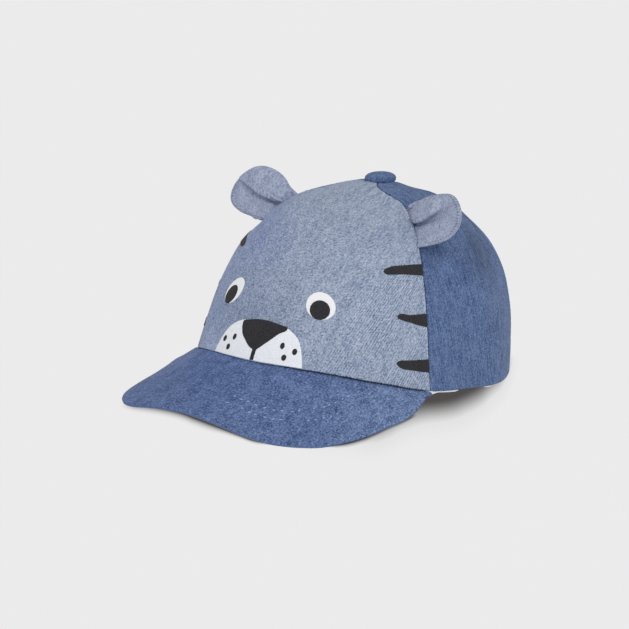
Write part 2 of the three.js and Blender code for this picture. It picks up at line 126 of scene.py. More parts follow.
def crown_normal(angle, climb):
    angle, climb = np.broadcast_arrays(np.asarray(angle, float), np.asarray(climb, float))
    t, d = np.clip(climb, .004, .985), .004
    n = unit(np.cross(crown(angle + .5, t) - crown(angle - .5, t), crown(angle, t + d) - crown(angle, t - d)))
    away = crown(angle, t) - np.array([0, ORIGIN_Y, 20])
    n = n * np.where((n * away).sum(-1, keepdims=True) < 0, -1, 1)
    n[..., 2] *= smooth(climb, 0, .12)
    return unit(n)


def climb_at(angle, high):
    a = fold(angle)
    rim = rim_at(a)
    v = np.clip((high - rim) / (CROWN_TOP - rim), 0, 1)
    return np.arcsin(v ** (DOME(a) / 2)) * 2 / np.pi


def seam_angle(climb, side=1):
    u = np.asarray(climb, float) / .985
    lean = SEAM_LEAN * smooth(climb, .62, .98) if side < 0 else -49 * smooth(climb, .8, 1)
    return SEAM_START + SEAM_DRIFT * u + SEAM_BEND * u * u + lean


def mm_per_degree(angle, climb):
    return np.linalg.norm(crown(angle + .25, climb) - crown(np.asarray(angle) - .25, climb), axis=-1) / .5


def waves(p, seed, size, count=8):
    """A gentle, repeatable unevenness with a spread of 1, from points in mm."""
    rng = np.random.default_rng(seed)
    total = 0
    for _ in range(count):
        d = unit(rng.normal(size=3))
        total = total + np.sin(2 * np.pi * (p @ d) / (size * rng.uniform(.7, 1.5)) + rng.uniform(0, 6.283))
    return total / math.sqrt(count / 2)


def roll(d, radius, depth):
    """How far an edge has rolled over, at distance d from it."""
    t = 1 - np.clip(d / radius, 0, 1)
    return -depth * (1 - np.sqrt(np.maximum(1 - t * t, 0)))


def seams(angle, climb):
    """Signed distance in mm to each crown seam: wearer's left front, right front, left back, right back, middle back."""
    k = mm_per_degree(angle, climb)
    return [((angle - c + 180) % 360 - 180) * k for c in (seam_angle(climb), -seam_angle(climb, -1), BACK_SEAM, -BACK_SEAM, 180.0)]


def relief(angle, climb):
    """How far the worn cloth stands out from the even crown, in mm."""
    angle, climb = np.broadcast_arrays(np.asarray(angle, float), np.asarray(climb, float))
    p = crown(angle, climb)
    r = np.hypot(p[..., 0] - TOP_SIDE - TOP_MOVE_SIDE, p[..., 1] - ORIGIN_Y - TOP_BACK - TOP_MOVE_BACK)
    calm = smooth(r, 3, 25) * (.35 + .65 * smooth(climb, 0, .2))
    z = waves(p, 3, 46) * .28 + waves(p, 7, 21) * .1
    side = smooth(fold(angle), 66, 84)
    z = z + side * waves(p * np.array([1, 1, .35]), 11, 24) * .26
    out = z * calm
    along = climb * 128
    for k, d in enumerate(seams(angle, climb)):
        near = np.abs(d)
        beat = np.sin(2 * np.pi * along / 3.4 + 1.6 * np.sin(along / 7.3 + k * 2) + np.where(d > 0, .7, 0))
        out = out + calm * (.2 * np.exp(-((near - 3.2) / 2.4) ** 2) + .13 * beat * np.exp(-near / 2.6))
    # ripples where the wearer's right front seam runs over the top
    d = (angle + seam_angle(climb)) * mm_per_degree(angle, climb)
    # the wearer's right shoulder is a little fuller, in front of and behind the seam
    out = out + .8 * np.exp(-((angle + 60) / 17) ** 2) * smooth(climb, .12, .3) * (1 - smooth(climb, .4, .56))
    out = out + 1.5 * np.exp(-((angle + 74) / 22) ** 2) * smooth(climb, .5, .64) * (1 - smooth(climb, .68, .84))
    out = out + .34 * np.sin(2 * np.pi * along / 5.2 + d * .22) * np.exp(-(np.clip(d - 1, 0, None) / 8) ** 2) * smooth(climb, .66, .76) * (1 - smooth(climb, .9, .98)) * (d > -2)
    # the side panel gives way a little under the wearer's left ear
    u, w = (angle - 82) * 1.15, (climb - .47) * 128
    out = out - 1.0 * np.exp(-(u / 9) ** 2 - (w / 6) ** 2)
    # cloth drawn in under the button
    out = out + .22 * np.sin(np.radians(angle) * 15) * np.exp(-((r - 9) / 4) ** 2)
    return out


def skin(angle, climb, out=0.0, rolled=False):
    angle, climb = np.broadcast_arrays(np.asarray(angle, float), np.asarray(climb, float))
    h = relief(angle, climb) + out
    if rolled:
        for d in seams(angle, climb)[:2]:
            h = h + roll(np.abs(d), .9, .7)
    return crown(angle, climb) + crown_normal(angle, climb) * h[..., None]


# ------------------------------------------------------------------ meshes
def build(name, verts, faces, uv, mats, face_mat=None, replaces=()):
    """An object from points in mm, faces of 3 or 4 corners and flat coordinates in mm."""
    verts = np.asarray(verts, float)
    quads = np.array([tuple(f) if len(f) == 4 else (*f, -1) for f in faces], np.int64) if isinstance(faces, list) else np.asarray(faces, np.int64)
    p = verts[quads[:, :3]]
    six = np.einsum("ij,ij->", p[:, 0], np.cross(p[:, 1], p[:, 2]))
    four = quads[:, 3] >= 0
    p = verts[quads[four][:, [0, 2, 3]]]
    six += np.einsum("ij,ij->", p[:, 0], np.cross(p[:, 1], p[:, 2]))
    if six < 0:
        quads = np.where(four[:, None], quads[:, ::-1], quads[:, [2, 1, 0, 3]])
    corners = quads.ravel()[quads.ravel() >= 0]
    total = np.where(four, 4, 3)
    me = bpy.data.meshes.new(name)
    me.vertices.add(len(verts))
    me.vertices.foreach_set("co", (verts * MM).astype(np.float32).ravel())
    me.loops.add(len(corners))
    me.loops.foreach_set("vertex_index", corners.astype(np.int32))
    me.polygons.add(len(quads))
    me.polygons.foreach_set("loop_start", (np.cumsum(total) - total).astype(np.int32))
    me.update(calc_edges=True)
    for m in mats:
        me.materials.append(m)
    if face_mat is not None:
        me.polygons.foreach_set("material_index", np.asarray(face_mat, np.int32))
    me.polygons.foreach_set("use_smooth", np.ones(len(quads), bool))
    layer = me.uv_layers.new(name="cloth")
    loop = np.empty(len(me.loops), np.int32)
    me.loops.foreach_get("vertex_index", loop)
    layer.data.foreach_set("uv", (np.asarray(uv, float)[loop] * .01).astype(np.float32).ravel())
    me.update()
    ob = bpy.data.objects.new(name, me)
    bpy.context.scene.collection.objects.link(ob)
    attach(ob, ROOT)
    if replaces:
        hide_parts(*replaces)
    return ob


def shell_parts(outer, inner):
    """Points and faces of a closed sheet between two grids. The third value marks 0 outside, 1 inside, 2 the border."""
    n, m = outer.shape[:2]
    a = np.arange(n * m).reshape(n, m)
    b = a + n * m
    fo = np.stack([a[:-1, :-1], a[1:, :-1], a[1:, 1:], a[:-1, 1:]], -1).reshape(-1, 4)
    fi = np.stack([b[:-1, :-1], b[:-1, 1:], b[1:, 1:], b[1:, :-1]], -1).reshape(-1, 4)
    cyc = lambda g: np.concatenate([g[0, :-1], g[:-1, -1], g[-1, :0:-1], g[:0:-1, 0]])
    p, q = cyc(a), cyc(b)
    fb = np.stack([p, np.roll(p, -1), np.roll(q, -1), q], -1)
    verts = np.concatenate([outer.reshape(-1, 3), inner.reshape(-1, 3)])
    faces = np.concatenate([fo, fi, fb])
    return verts, faces, np.concatenate([np.zeros(len(fo)), np.ones(len(fi)), np.full(len(fb), 2)]).astype(int)


def fine_edges(total, step, edge=(0, .12, .28, .5, .8, 1.2, 1.8, 2.6), both=True):
    """Distances from 0 to total: close together by the edges, even between them."""
    edge = np.array(edge)
    end = total - edge[-1] if both else total
    mid = np.linspace(edge[-1], end, max(2, int(round((end - edge[-1]) / step)) + 1))
    return np.concatenate([edge[:-1], mid, total - edge[:-1][::-1]] if both else [edge[:-1], mid])


# ------------------------------------------------------------------ materials
class Graph:
    def __init__(self, name):
        self.m = bpy.data.materials.new(name)
        self.m.use_nodes = True
        self.t = self.m.node_tree
        self.t.nodes.clear()

    def add(self, kind, props=None, ins=None):
        n = self.t.nodes.new(kind)
        for k, v in (props or {}).items():
            setattr(n, k, v)
        for k, v in (ins or {}).items():
            s = n.inputs[k]
            if isinstance(v, bpy.types.NodeSocket):
                self.t.links.new(v, s)
            else:
                s.default_value = v
        return n

    def math(self, op, a, b=0.0, c=0.0, clamp=False):
        return self.add("ShaderNodeMath", {"operation": op, "use_clamp": clamp}, {0: a, 1: b, 2: c}).outputs[0]

    def scaled(self, vec, x, y):
        return self.add("ShaderNodeVectorMath", {"operation": "MULTIPLY"}, {0: vec, 1: (x, y, 1)}).outputs[0]

    def noise(self, vec, wide, tall, detail=2.0, rough=.6, shift=0.0):
        """Noise whose spots are wide by tall mm."""
        v = self.scaled(vec, 1 / wide, 1 / tall)
        if shift:
            v = self.add("ShaderNodeVectorMath", {"operation": "ADD"}, {0: v, 1: (shift, shift * .7, 0)}).outputs[0]
        return self.add("ShaderNodeTexNoise", {"noise_dimensions": "2D"}, {"Vector": v, "Scale": 1.0, "Detail": detail, "Roughness": rough}).outputs[0]

    def ramp(self, x, low, high, to_low=0.0, to_high=1.0):
        return self.add("ShaderNodeMapRange", {"interpolation_type": "SMOOTHSTEP"},
                        {"Value": x, "From Min": low, "From Max": high, "To Min": to_low, "To Max": to_high}).outputs[0]

    def mix(self, f, a, b, blend="MIX"):
        n = self.add("ShaderNodeMix", {"data_type": "RGBA", "blend_type": blend}, {0: f})
        for k, v in ((6, a), (7, b)):
            if isinstance(v, bpy.types.NodeSocket):
                self.t.links.new(v, n.inputs[k])
            else:
                n.inputs[k].default_value = (*v, 1)
        return n.outputs[2]

    def finish(self, color, roughness=.9, height=None, strength=.4, distance=.0002, specular=.25, sheen=.0, sheen_rough=.5, sheen_tint=(1, 1, 1)):
        b = self.add("ShaderNodeBsdfPrincipled", None, {"Roughness": roughness, "Specular IOR Level": specular, "Sheen Weight": sheen,
                                                        "Sheen Roughness": sheen_rough, "Sheen Tint": (*sheen_tint, 1)})
        if isinstance(color, bpy.types.NodeSocket):
            self.t.links.new(color, b.inputs["Base Color"])
        else:
            b.inputs["Base Color"].default_value = (*color, 1)
        if height is not None:
            bump = self.add("ShaderNodeBump", None, {"Strength": strength, "Distance": distance, "Height": height})
            self.t.links.new(bump.outputs[0], b.inputs["Normal"])
        o = self.add("ShaderNodeOutputMaterial")
        self.t.links.new(b.outputs[0], o.inputs[0])
        return self.m


def linear(r, g, b):
    f = lambda c: c / 12.92 if c <= .04045 else ((c + .055) / 1.055) ** 2.4
    return tuple(f(x / 255) for x in (r, g, b))


def woven(name, low, high, warp, weft, grain, cloud, twill=None, pale=None, deep=None, sheen=.08, bump=.3, tones=()):
    """Woven cloth. warp and weft: (thread width, length of its thick places, weight). grain: (size, weight) for each
    size.
    cloud: the same for broader patches. twill: (pitch, lean in degrees, weight, where it shows: a direction and its two
    ends). pale, deep: (size, threshold, weight, colour) of specks.
    tones: soft ovals on the flat cloth made darker, lighter or tinted, (x, y, half width, half height, weight, colour);
    the front panel and the dark panels use them for painted shade and light."""
    g = Graph(name)
    uv = g.add("ShaderNodeUVMap", {"uv_map": "cloth"}).outputs[0]
    uv = g.scaled(uv, 100, 100)
    parts = [(g.noise(uv, warp[0], warp[1], 1.5, .65, 3.1), warp[2]), (g.noise(uv, weft[1], weft[0], 1.5, .65, 17.7), weft[2])]
    parts += [(g.noise(uv, size, size, 1, .7, 41.3 + 9 * k), weight) for k, (size, weight) in enumerate(grain)]
    parts += [(g.noise(uv, size, size * 1.5, 1, .5, 5.5 + 7 * k), weight) for k, (size, weight) in enumerate(cloud)]
    f = .5 - .5 * sum(weight for _, weight in parts)
    for value, weight in parts:
        f = g.math("MULTIPLY_ADD", value, weight, f)
    height = g.math("ADD", parts[0][0], parts[1][0])
    height = g.math("ADD", height, parts[2][0])
    if twill:
        pitch, lean, weight, shown = twill
        s = g.add("ShaderNodeVectorMath", {"operation": "DOT_PRODUCT"},
                  {0: uv, 1: (math.sin(math.radians(lean)) * 2 * math.pi / pitch, -math.cos(math.radians(lean)) * 2 * math.pi / pitch, 0)}).outputs["Value"]
        bend = g.noise(uv, 5, 9, 1, .5, 71)
        s = g.math("SINE", g.math("MULTIPLY_ADD", bend, 6, s))
        where = g.ramp(g.noise(uv, 22, 22, 1, .5, 13), .38, .62, .35, 1.0)
        if shown:
            way = g.add("ShaderNodeVectorMath", {"operation": "DOT_PRODUCT"}, {0: uv, 1: (*shown[:2], 0)}).outputs["Value"]
            where = g.math("MULTIPLY", where, g.ramp(way, *shown[2:], .08, 1.0))
        s = g.math("MULTIPLY", s, where)
        f = g.math("MULTIPLY_ADD", s, weight, f)
        height = g.math("MULTIPLY_ADD", s, .25, height)
    f = g.math("ADD", f, 0.0, clamp=True)
    color = g.mix(f, low, high)
    for value, shift in ((pale, 91), (deep, 57)):
        if value:
            n = g.noise(uv, value[0], value[0], .5, .5, shift)
            color = g.mix(g.ramp(n, value[1], value[1] + .08, 0, value[2]), color, value[3])
    for x, y, wide, tall, weight, tint in tones:
        v = g.add("ShaderNodeVectorMath", {"operation": "SUBTRACT"}, {0: uv, 1: (x, y, 0)}).outputs[0]
        v = g.add("ShaderNodeVectorMath", {"operation": "MULTIPLY"}, {0: v, 1: (1 / wide, 1 / tall, 0)}).outputs[0]
        far = g.add("ShaderNodeVectorMath", {"operation": "LENGTH"}, {0: v}).outputs["Value"]
        color = g.mix(g.ramp(far, 0, 1.6, weight, 0), color, tint, "MULTIPLY")
    return g.finish(color, .92, height, bump, .00022, .2, sheen, .45)


# the front panel's tones are painted shade and light: darker and bluer towards the wearer's right and between the eyes,
# with a painted lighter patch low on the wearer's right
LIGHT = woven("light denim", linear(100, 117, 148), linear(183, 194, 212), (.6, 3.4, .6), (.6, 2.8, .5), ((.8, 1.35), (1.7, .6)), ((3.2, .45), (9, .28)),
              twill=(1.34, 70, .24, (1, -.8, -28, 16)), pale=(1.0, .66, .35, linear(208, 214, 225)), deep=(1.0, .66, .4, linear(78, 96, 133)),
              tones=((-14, 48, 30, 26, .15, (0, 0, .1)), (-64, 52, 32, 44, .15, (0, .1, .8)), (-31, 86, 24, 16, .2, (.1, .15, .7)),
                     (-38, 60, 40, 50, .07, (.2, .5, 1.6)), (-34, 27, 15, 11, .2, (1.9, 1.9, 2.0))))
EAR = woven("light denim, ears", linear(112, 123, 152), linear(183, 192, 213), (.55, 3, .45), (.55, 3, .4), ((.7, 1.0), (1.6, .4)), ((3.2, .42), (8, .3)),
            twill=(1.3, 60, .08, None), pale=(.9, .68, .3, linear(202, 206, 221)), deep=(.9, .68, .3, linear(92, 104, 138)))
# the dark cloth's tones are painted shade: darker patches under the wearer's left ear and higher up the side panel; the
# same marks fall at the same places on the other dark panels
DARK = woven("dark denim", linear(50, 71, 113), linear(110, 133, 174), (.7, 9, 1.1), (.6, 4, .45), ((.85, 1.25), (1.9, .55)), ((4, .5), (11, .35)),
             pale=(1.05, .66, .35, linear(140, 157, 190)), deep=(1.15, .66, .35, linear(43, 62, 104)), tones=((-30, 76, 14, 8, .25, (0, 0, .1)), (-20, 98, 30, 14, .1, (0, 0, 0)), (13, 66, 19, 16, .32, (0, 0, .05))))
# the peak's tones make it darker and bluer towards the wearer's right and lighter towards the wearer's left end
PEAK = woven("dark denim, peak", linear(49, 69, 113), linear(113, 134, 177), (.6, 3.6, .7), (.6, 2.2, .4), ((.85, 1.45), (1.8, .65)), ((3.2, .65), (8, .5)),
             twill=(1.35, 40, .07, None), pale=(1.05, .66, .4, linear(150, 167, 199)), deep=(1.1, .66, .4, linear(42, 61, 105)),
             tones=((-18, -80, 36, 22, .08, (0, 0, .1)), (-32, -68, 50, 46, .15, (.1, .6, 1.5)), (67, -42, 20, 36, .24, (2.8, 2.55, 2.0)), (30, -84, 30, 24, .05, (2, 2, 1.9))))
INSIDE = woven("denim, wrong side", linear(146, 156, 175), linear(194, 201, 213), (.6, 6, .8), (.6, 5, .7), ((1.0, .9),), ((9, .3),))
WHITE = woven("white cotton", linear(230, 233, 240), linear(248, 250, 254), (.55, 4, .5), (.55, 4, .5), ((.9, 1.2), (2.0, .5)), ((9, .2),), sheen=.05)
BRIGHT = woven("white cotton, eyes", linear(236, 237, 241), linear(250, 250, 252), (.55, 4, .5), (.55, 4, .5), ((.9, .8),), ((9, .2),), sheen=.05)
BLACK = woven("black cotton", linear(36, 36, 40), linear(60, 59, 63), (.5, 3, .5), (.5, 3, .4), ((.9, 1.2),), ((7, .3),), sheen=.05)
BAND = woven("white band", linear(222, 225, 232), linear(243, 245, 249), (.5, 4, .5), (.5, 3, .5), ((.9, .8),), ((9, .2),), sheen=.05)


def thread(name, color, dark):
    g = Graph(name)
    uv = g.scaled(g.add("ShaderNodeUVMap", {"uv_map": "cloth"}).outputs[0], 100, 100)
    s = g.add("ShaderNodeVectorMath", {"operation": "DOT_PRODUCT"}, {0: uv, 1: (11, 7, 0)}).outputs["Value"]
    s = g.math("MULTIPLY_ADD", g.math("SINE", s), .5, .5)
    return g.finish(g.mix(s, dark, color), .7, s, .5, .0001, .3, .1)


BLUE_THREAD = thread("blue thread", linear(120, 137, 170), linear(92, 110, 146))
# this pale thread is the blue thread with a painted highlight
HIGHLIGHT_THREAD = thread("thread with painted highlight", linear(196, 208, 232), linear(140, 158, 194))
# this dark thread paints the shade inside the ears' needle holes
HOLE_SHADE_THREAD = thread("painted needle hole shade", linear(86, 98, 132), linear(70, 82, 116))
# the navy thread is partly stitching and partly a painted shade line in the seam grooves
NAVY_THREAD_AND_SHADE = thread("navy thread and painted groove shade", linear(50, 64, 104), linear(30, 42, 80))
WORN_THREAD = thread("worn thread", linear(136, 153, 192), linear(108, 127, 168))
EAR_THREAD = thread("ear thread", linear(190, 195, 208), linear(150, 158, 180))
WHITE_THREAD = thread("white thread", linear(240, 240, 242), linear(215, 217, 222))


# ------------------------------------------------------------------ crown panels
def panel(name, node, a, b, outside):
    """A crown panel between two seams, each an angle as a function of the climb."""
    mid = np.linspace(0, .985, 600)
    ang = (a(mid) + b(mid)) / 2
    length = np.concatenate([[0], np.cumsum(np.linalg.norm(np.diff(crown(ang, mid), axis=0), axis=1))])
    climb = np.interp(fine_edges(length[-1], 1.25, both=False), length, mid)
    t = np.linspace(0, 1, 61)[None, :]
    A = a(climb)[:, None] + (b(climb) - a(climb))[:, None] * t
    P = crown(A, climb[:, None] + 0 * t)
    cum = np.concatenate([np.zeros((len(climb), 1)), np.cumsum(np.linalg.norm(np.diff(P, axis=1), axis=2), axis=1)], 1)
    widest = cum[:, -1].max()
    base = fine_edges(widest, 1.25)
    edge = 2.6
    n, m = len(base), len(climb)
    angle, d, width = np.empty((n, m)), np.empty((n, m)), cum[:, -1]
    for j in range(m):
        w = width[j]
        k = min(1.0, w / (4 * edge))
        inner = (base >= edge) & (base <= widest - edge)
        s = np.where(base < edge, base * k, 0.0)
        s = np.where(base > widest - edge, w - (widest - base) * k, s)
        s[inner] = edge * k + (base[inner] - edge) / (widest - 2 * edge) * (w - 2 * edge * k)
        s = np.clip(s, 0, w)
        d[:, j] = s
        clear = .01
        angle[:, j] = np.interp(np.clip(s, clear, w - clear), cum[j], A[j])
    C = np.broadcast_to(climb[None, :], (n, m))
    edge_d = np.minimum(d, width[None, :] - d)
    base_p, normal = crown(angle, C), crown_normal(angle, C)
    up = np.concatenate([np.zeros((n, 1)), np.cumsum(np.linalg.norm(np.diff(base_p, axis=1), axis=2), axis=1)], 1)
    rel = relief(angle, C)
    outer = rel + roll(edge_d, .8, 1.1) + roll(up, .5, .34)
    allowance = .3 * (1 - smooth(edge_d, 5.5, 6.3)) + .25 * (1 - smooth(up, 9, 10))
    inner = np.minimum(rel * .6, .15) - CLOTH + .35 - allowance - roll(up, .6, .45)
    inner = np.minimum(inner, outer - .1)
    # wrong side of the cloth keeps away from the band
    verts, faces, kind = shell_parts(base_p + normal * outer[..., None], base_p + normal * inner[..., None])
    uv = np.stack([d - width[None, :] / 2, up + rim_at(angle[:, :1])], -1).reshape(-1, 2)
    return build(name, verts, faces, np.concatenate([uv, uv]), [outside, INSIDE], (kind == 1).astype(int), [node])


even = lambda value: (lambda c: np.full(np.shape(c), float(value)))
panel("front_panel_cloth", "front_panel", lambda c: -seam_angle(c, -1), seam_angle, LIGHT)
panel("side_panel_left_cloth", "side_panel_left", seam_angle, even(BACK_SEAM), DARK)
panel("side_panel_right_cloth", "side_panel_right", even(-BACK_SEAM), lambda c: -seam_angle(c, -1), DARK)
panel("back_panel_left_cloth", "back_panel_left", even(BACK_SEAM), even(180), DARK)
panel("back_panel_right_cloth", "back_panel_right", even(-180), even(-BACK_SEAM), DARK)

# ------------------------------------------------------------------ visor
SHARE = [0, .1, .2, .3, .4, .5, .6, .7, .8, .9, 1]
VISOR_OUT = spline(SHARE, [0, 11.3, 22.2, 32.4, 41.7, 50.1, 57.2, 62.6, 66.2, 68.2, 68.2])
VISOR_FORE = spline(SHARE, [-133.7, -133.5, -132.4, -129.7, -124.4, -115.8, -104.2, -89.9, -72.9, -52.9, -29.9])
VISOR_LEFT = spline(SHARE, [0, 0, 0, .1, .4, .9, 1.4, 1.6, 1.8, 2.1, -2])
VISOR_THICK = 2.2


def arch_height(x, y):
    s = x + 3.9 * np.clip((-82 - y) / 40 + .3, 0, 1)
    return 25.05 + .207 * (y + 82) - (.00627 + .0005 * (y + 82) / 55) * s * s + 2.4835e-7 * s**4 - .0069 * s


def visor_mid(side, reach):
    side, reach = np.broadcast_arrays(np.asarray(side, float), np.asarray(reach, float))
    a = np.abs(side)
    hem = crown(side * SEAM_START, 0 * side) + crown_normal(side * SEAM_START, 0 * side) * -1.3
    hx, hy, hz = hem[..., 0], hem[..., 1] - ORIGIN_Y, hem[..., 2] - VISOR_THICK / 2 - .04 - .24 * smooth(side, -.1, .25)
    x, y = np.sign(side) * (VISOR_OUT(a) + np.where(side > 0, VISOR_LEFT(a), 0)), VISOR_FORE(a)
    dip = .9 * smooth(side, -.6, -.3) * (1 - smooth(side, .36, .56)) * reach * reach
    px, py = hx + (x - hx) * reach, hy + (y - hy) * reach
    left = hz - arch_height(hx, hy)
    return np.stack([px, py + ORIGIN_Y, np.minimum(hz, arch_height(px, py) + left * (1 - reach) ** 2 - dip)], -1)


def visor_normal(side, reach):
    side, reach = np.broadcast_arrays(np.asarray(side, float), np.asarray(reach, float))
    d, w = .01, np.clip(reach, .02, .98)
    n = unit(np.cross(visor_mid(side + d, w) - visor_mid(side - d, w), visor_mid(side, w + d) - visor_mid(side, w - d)))
    n = n * np.where(n[..., 2:] < 0, -1, 1)
    k = (1 - smooth(reach, 0, .15))[..., None]
    return unit(n * (1 - k) + np.array([0, 0, 1]) * k)


VISOR_ROWS = [(16.3, 1.0), (22.8, 1.0)]     # distance of each stitched row from the edge


def visor_edge_distance(p):
    s = np.linspace(-1, 1, 601)
    e = visor_mid(s, 1 + 0 * s)
    out = np.empty(p.shape[:-1])
    flat = p.reshape(-1, 3)
    res = out.reshape(-1)
    for k in range(0, len(flat), 4000):
        res[k:k + 4000] = np.linalg.norm(flat[k:k + 4000, None, :] - e[None], axis=-1).min(1)
    return res.reshape(p.shape[:-1])


def visor_relief(p, d):
    h = waves(p, 21, 30) * .16 + waves(p, 22, 11) * .07
    h = h + .3 * np.exp(-((p[..., 0] + 66) / 9) ** 2 - ((p[..., 1] + 26) / 16) ** 2)
    for at, _ in VISOR_ROWS:
        h = h - .16 * np.exp(-((d - at) / .8) ** 2) + .05 * np.exp(-((d - at) / 2.6) ** 2)
    return h


def visor_piece():
    sides = np.concatenate([np.linspace(-1, -.985, 6)[:-1], np.linspace(-.985, .985, 231), np.linspace(.985, 1, 6)[1:]])
    far = fine_edges(50, .9, both=False)
    reach = 1 - (far[::-1] / 50)
    S, R = np.meshgrid(sides, reach, indexing="ij")
    mid, n = visor_mid(S, R), visor_normal(S, R)
    d = visor_edge_distance(mid)
    ends = np.minimum(np.linalg.norm(mid - visor_mid(-1 + 0 * S, R), axis=-1), np.linalg.norm(mid - visor_mid(1 + 0 * S, R), axis=-1))
    e = np.minimum(d, ends + .05)
    half = VISOR_THICK / 2 * np.sqrt(np.maximum(1 - (1 - np.clip(e / 1.15, 0, 1)) ** 2, .003))
    h = visor_relief(mid, d) * smooth(d, .6, 3) * smooth(R, 0, .08)
    top = mid + n * (half + h)[..., None]
    low = mid - n * (half - h * .3)[..., None]
    uv = mid[..., :2].reshape(-1, 2)
    verts, faces, kind = shell_parts(top, low)
    return build("visor_cloth", verts, faces, np.concatenate([uv, uv + 37]), [PEAK], None, ["visor"])


visor_piece()


# ------------------------------------------------------------------ stitches
def stitches(name, a, b, normal, width, rise, mat, sink=.12, steps=6, replaces=()):
    """Short threads from a to b, standing out along normal in their middle."""
    a, b, normal = (np.asarray(x, float) for x in (a, b, normal))
    t, sides = np.linspace(0, 1, steps), 6
    along = unit(b - a)
    normal = unit(normal - along * (normal * along).sum(-1, keepdims=True))
    across = np.cross(along, normal)
    lift = rise * np.sin(np.pi * t) - sink * (2 * t - 1) ** 4
    C = a[:, None] + (b - a)[:, None] * t[None, :, None] + normal[:, None] * lift[None, :, None]
    size = width / 2 * np.sqrt(np.maximum(1 - (2 * t - 1) ** 4, .06))
    ph = np.linspace(0, 2 * np.pi, sides, endpoint=False)
    ringp = C[:, :, None] + size[None, :, None, None] * (across[:, None, None] * np.cos(ph)[None, None, :, None] + normal[:, None, None] * np.sin(ph)[None, None, :, None])
    k = len(a)
    verts = ringp.reshape(-1, 3)
    per = steps * sides
    base = (np.arange(k) * per)[:, None, None]
    i, j = np.arange(steps - 1)[:, None], np.arange(sides)[None]
    quad = np.stack([i * sides + j, i * sides + (j + 1) % sides, (i + 1) * sides + (j + 1) % sides, (i + 1) * sides + j], -1).reshape(-1, 4)
    end = (steps - 1) * sides
    caps = np.array([(3, 2, 1, 0), (5, 4, 3, 0), (end, end + 1, end + 2, end + 3), (end, end + 3, end + 4, end + 5)])
    faces = np.concatenate([(quad[None] + base).reshape(-1, 4), (caps[None] + base).reshape(-1, 4)])
    L = np.linalg.norm(b - a, axis=-1)
    uv = np.stack([np.broadcast_to((t[None, :, None] * L[:, None, None]), (k, steps, sides)), np.broadcast_to((ph / 6.283 * width * 3)[None, None], (k, steps, sides))], -1).reshape(-1, 2)
    return build(name, verts, faces, uv, [mat], None, replaces)


def along_line(points, pitch, share):
    """Start and end of each stitch on a line of points in mm."""
    L = np.concatenate([[0], np.cumsum(np.linalg.norm(np.diff(points, axis=0), axis=1))])
    s = np.arange(pitch * .5, L[-1] - pitch, pitch)
    at = lambda x: np.stack([np.interp(x, L, points[:, k]) for k in range(3)], -1)
    return s, L[-1], at(s), at(s + pitch * share)


def visor_rows():
    s = np.linspace(-.97, .97, 420)
    R = np.linspace(.2, 1, 90)
    for row, (far, _) in enumerate(VISOR_ROWS):
        reach = np.empty(len(s))
        for i in range(0, len(s), 60):
            S2, R2 = np.meshgrid(s[i:i + 60], R, indexing="ij")
            d = visor_edge_distance(visor_mid(S2, R2))
            for q in range(len(S2)):
                reach[i + q] = np.interp(-far, -d[q], R) if d[q].max() > far else np.nan
        ok = ~np.isnan(reach)
        line_s, line_r = s[ok], reach[ok]
        mid = visor_mid(line_s, line_r)
        n = visor_normal(line_s, line_r)
        pts = mid + n * (VISOR_THICK / 2 + visor_relief(mid, np.full(len(mid), far)))[:, None]
        x, L, a, b = along_line(pts, 4.0, .46)
        cum = np.concatenate([[0], np.cumsum(np.linalg.norm(np.diff(pts, axis=0), axis=1))])
        nn = np.stack([np.interp(x, cum, n[:, k]) for k in range(3)], -1)
        rng = np.random.default_rng(60 + row)
        shift = np.cross(nn, unit(b - a)) * rng.normal(0, .24, len(a))[:, None] + unit(b - a) * rng.normal(0, .35, len(a))[:, None]
        down = nn * rng.uniform(0, .12, len(a))[:, None]
        lean = np.cross(nn, unit(b - a)) * rng.normal(.42, .16, len(a))[:, None]
        a, b = a + shift - down - lean, b + shift - down + lean
        where = np.interp(x, cum, line_s)
        # stitches in the middle of the peak get the pale thread, a painted highlight where they catch the light; the
        # others keep the blue thread
        clear = (where > (.075, .1)[row]) & (where < .6) & (rng.random(len(a)) < (.8, .7)[row])
        for word, part, mat in (("middle", clear, HIGHLIGHT_THREAD), ("sides", ~clear, BLUE_THREAD)):
            stitches(f"visor_stitches_{row + 1}_{word}", a[part], b[part], nn[part], .5, .12, mat)


visor_rows()


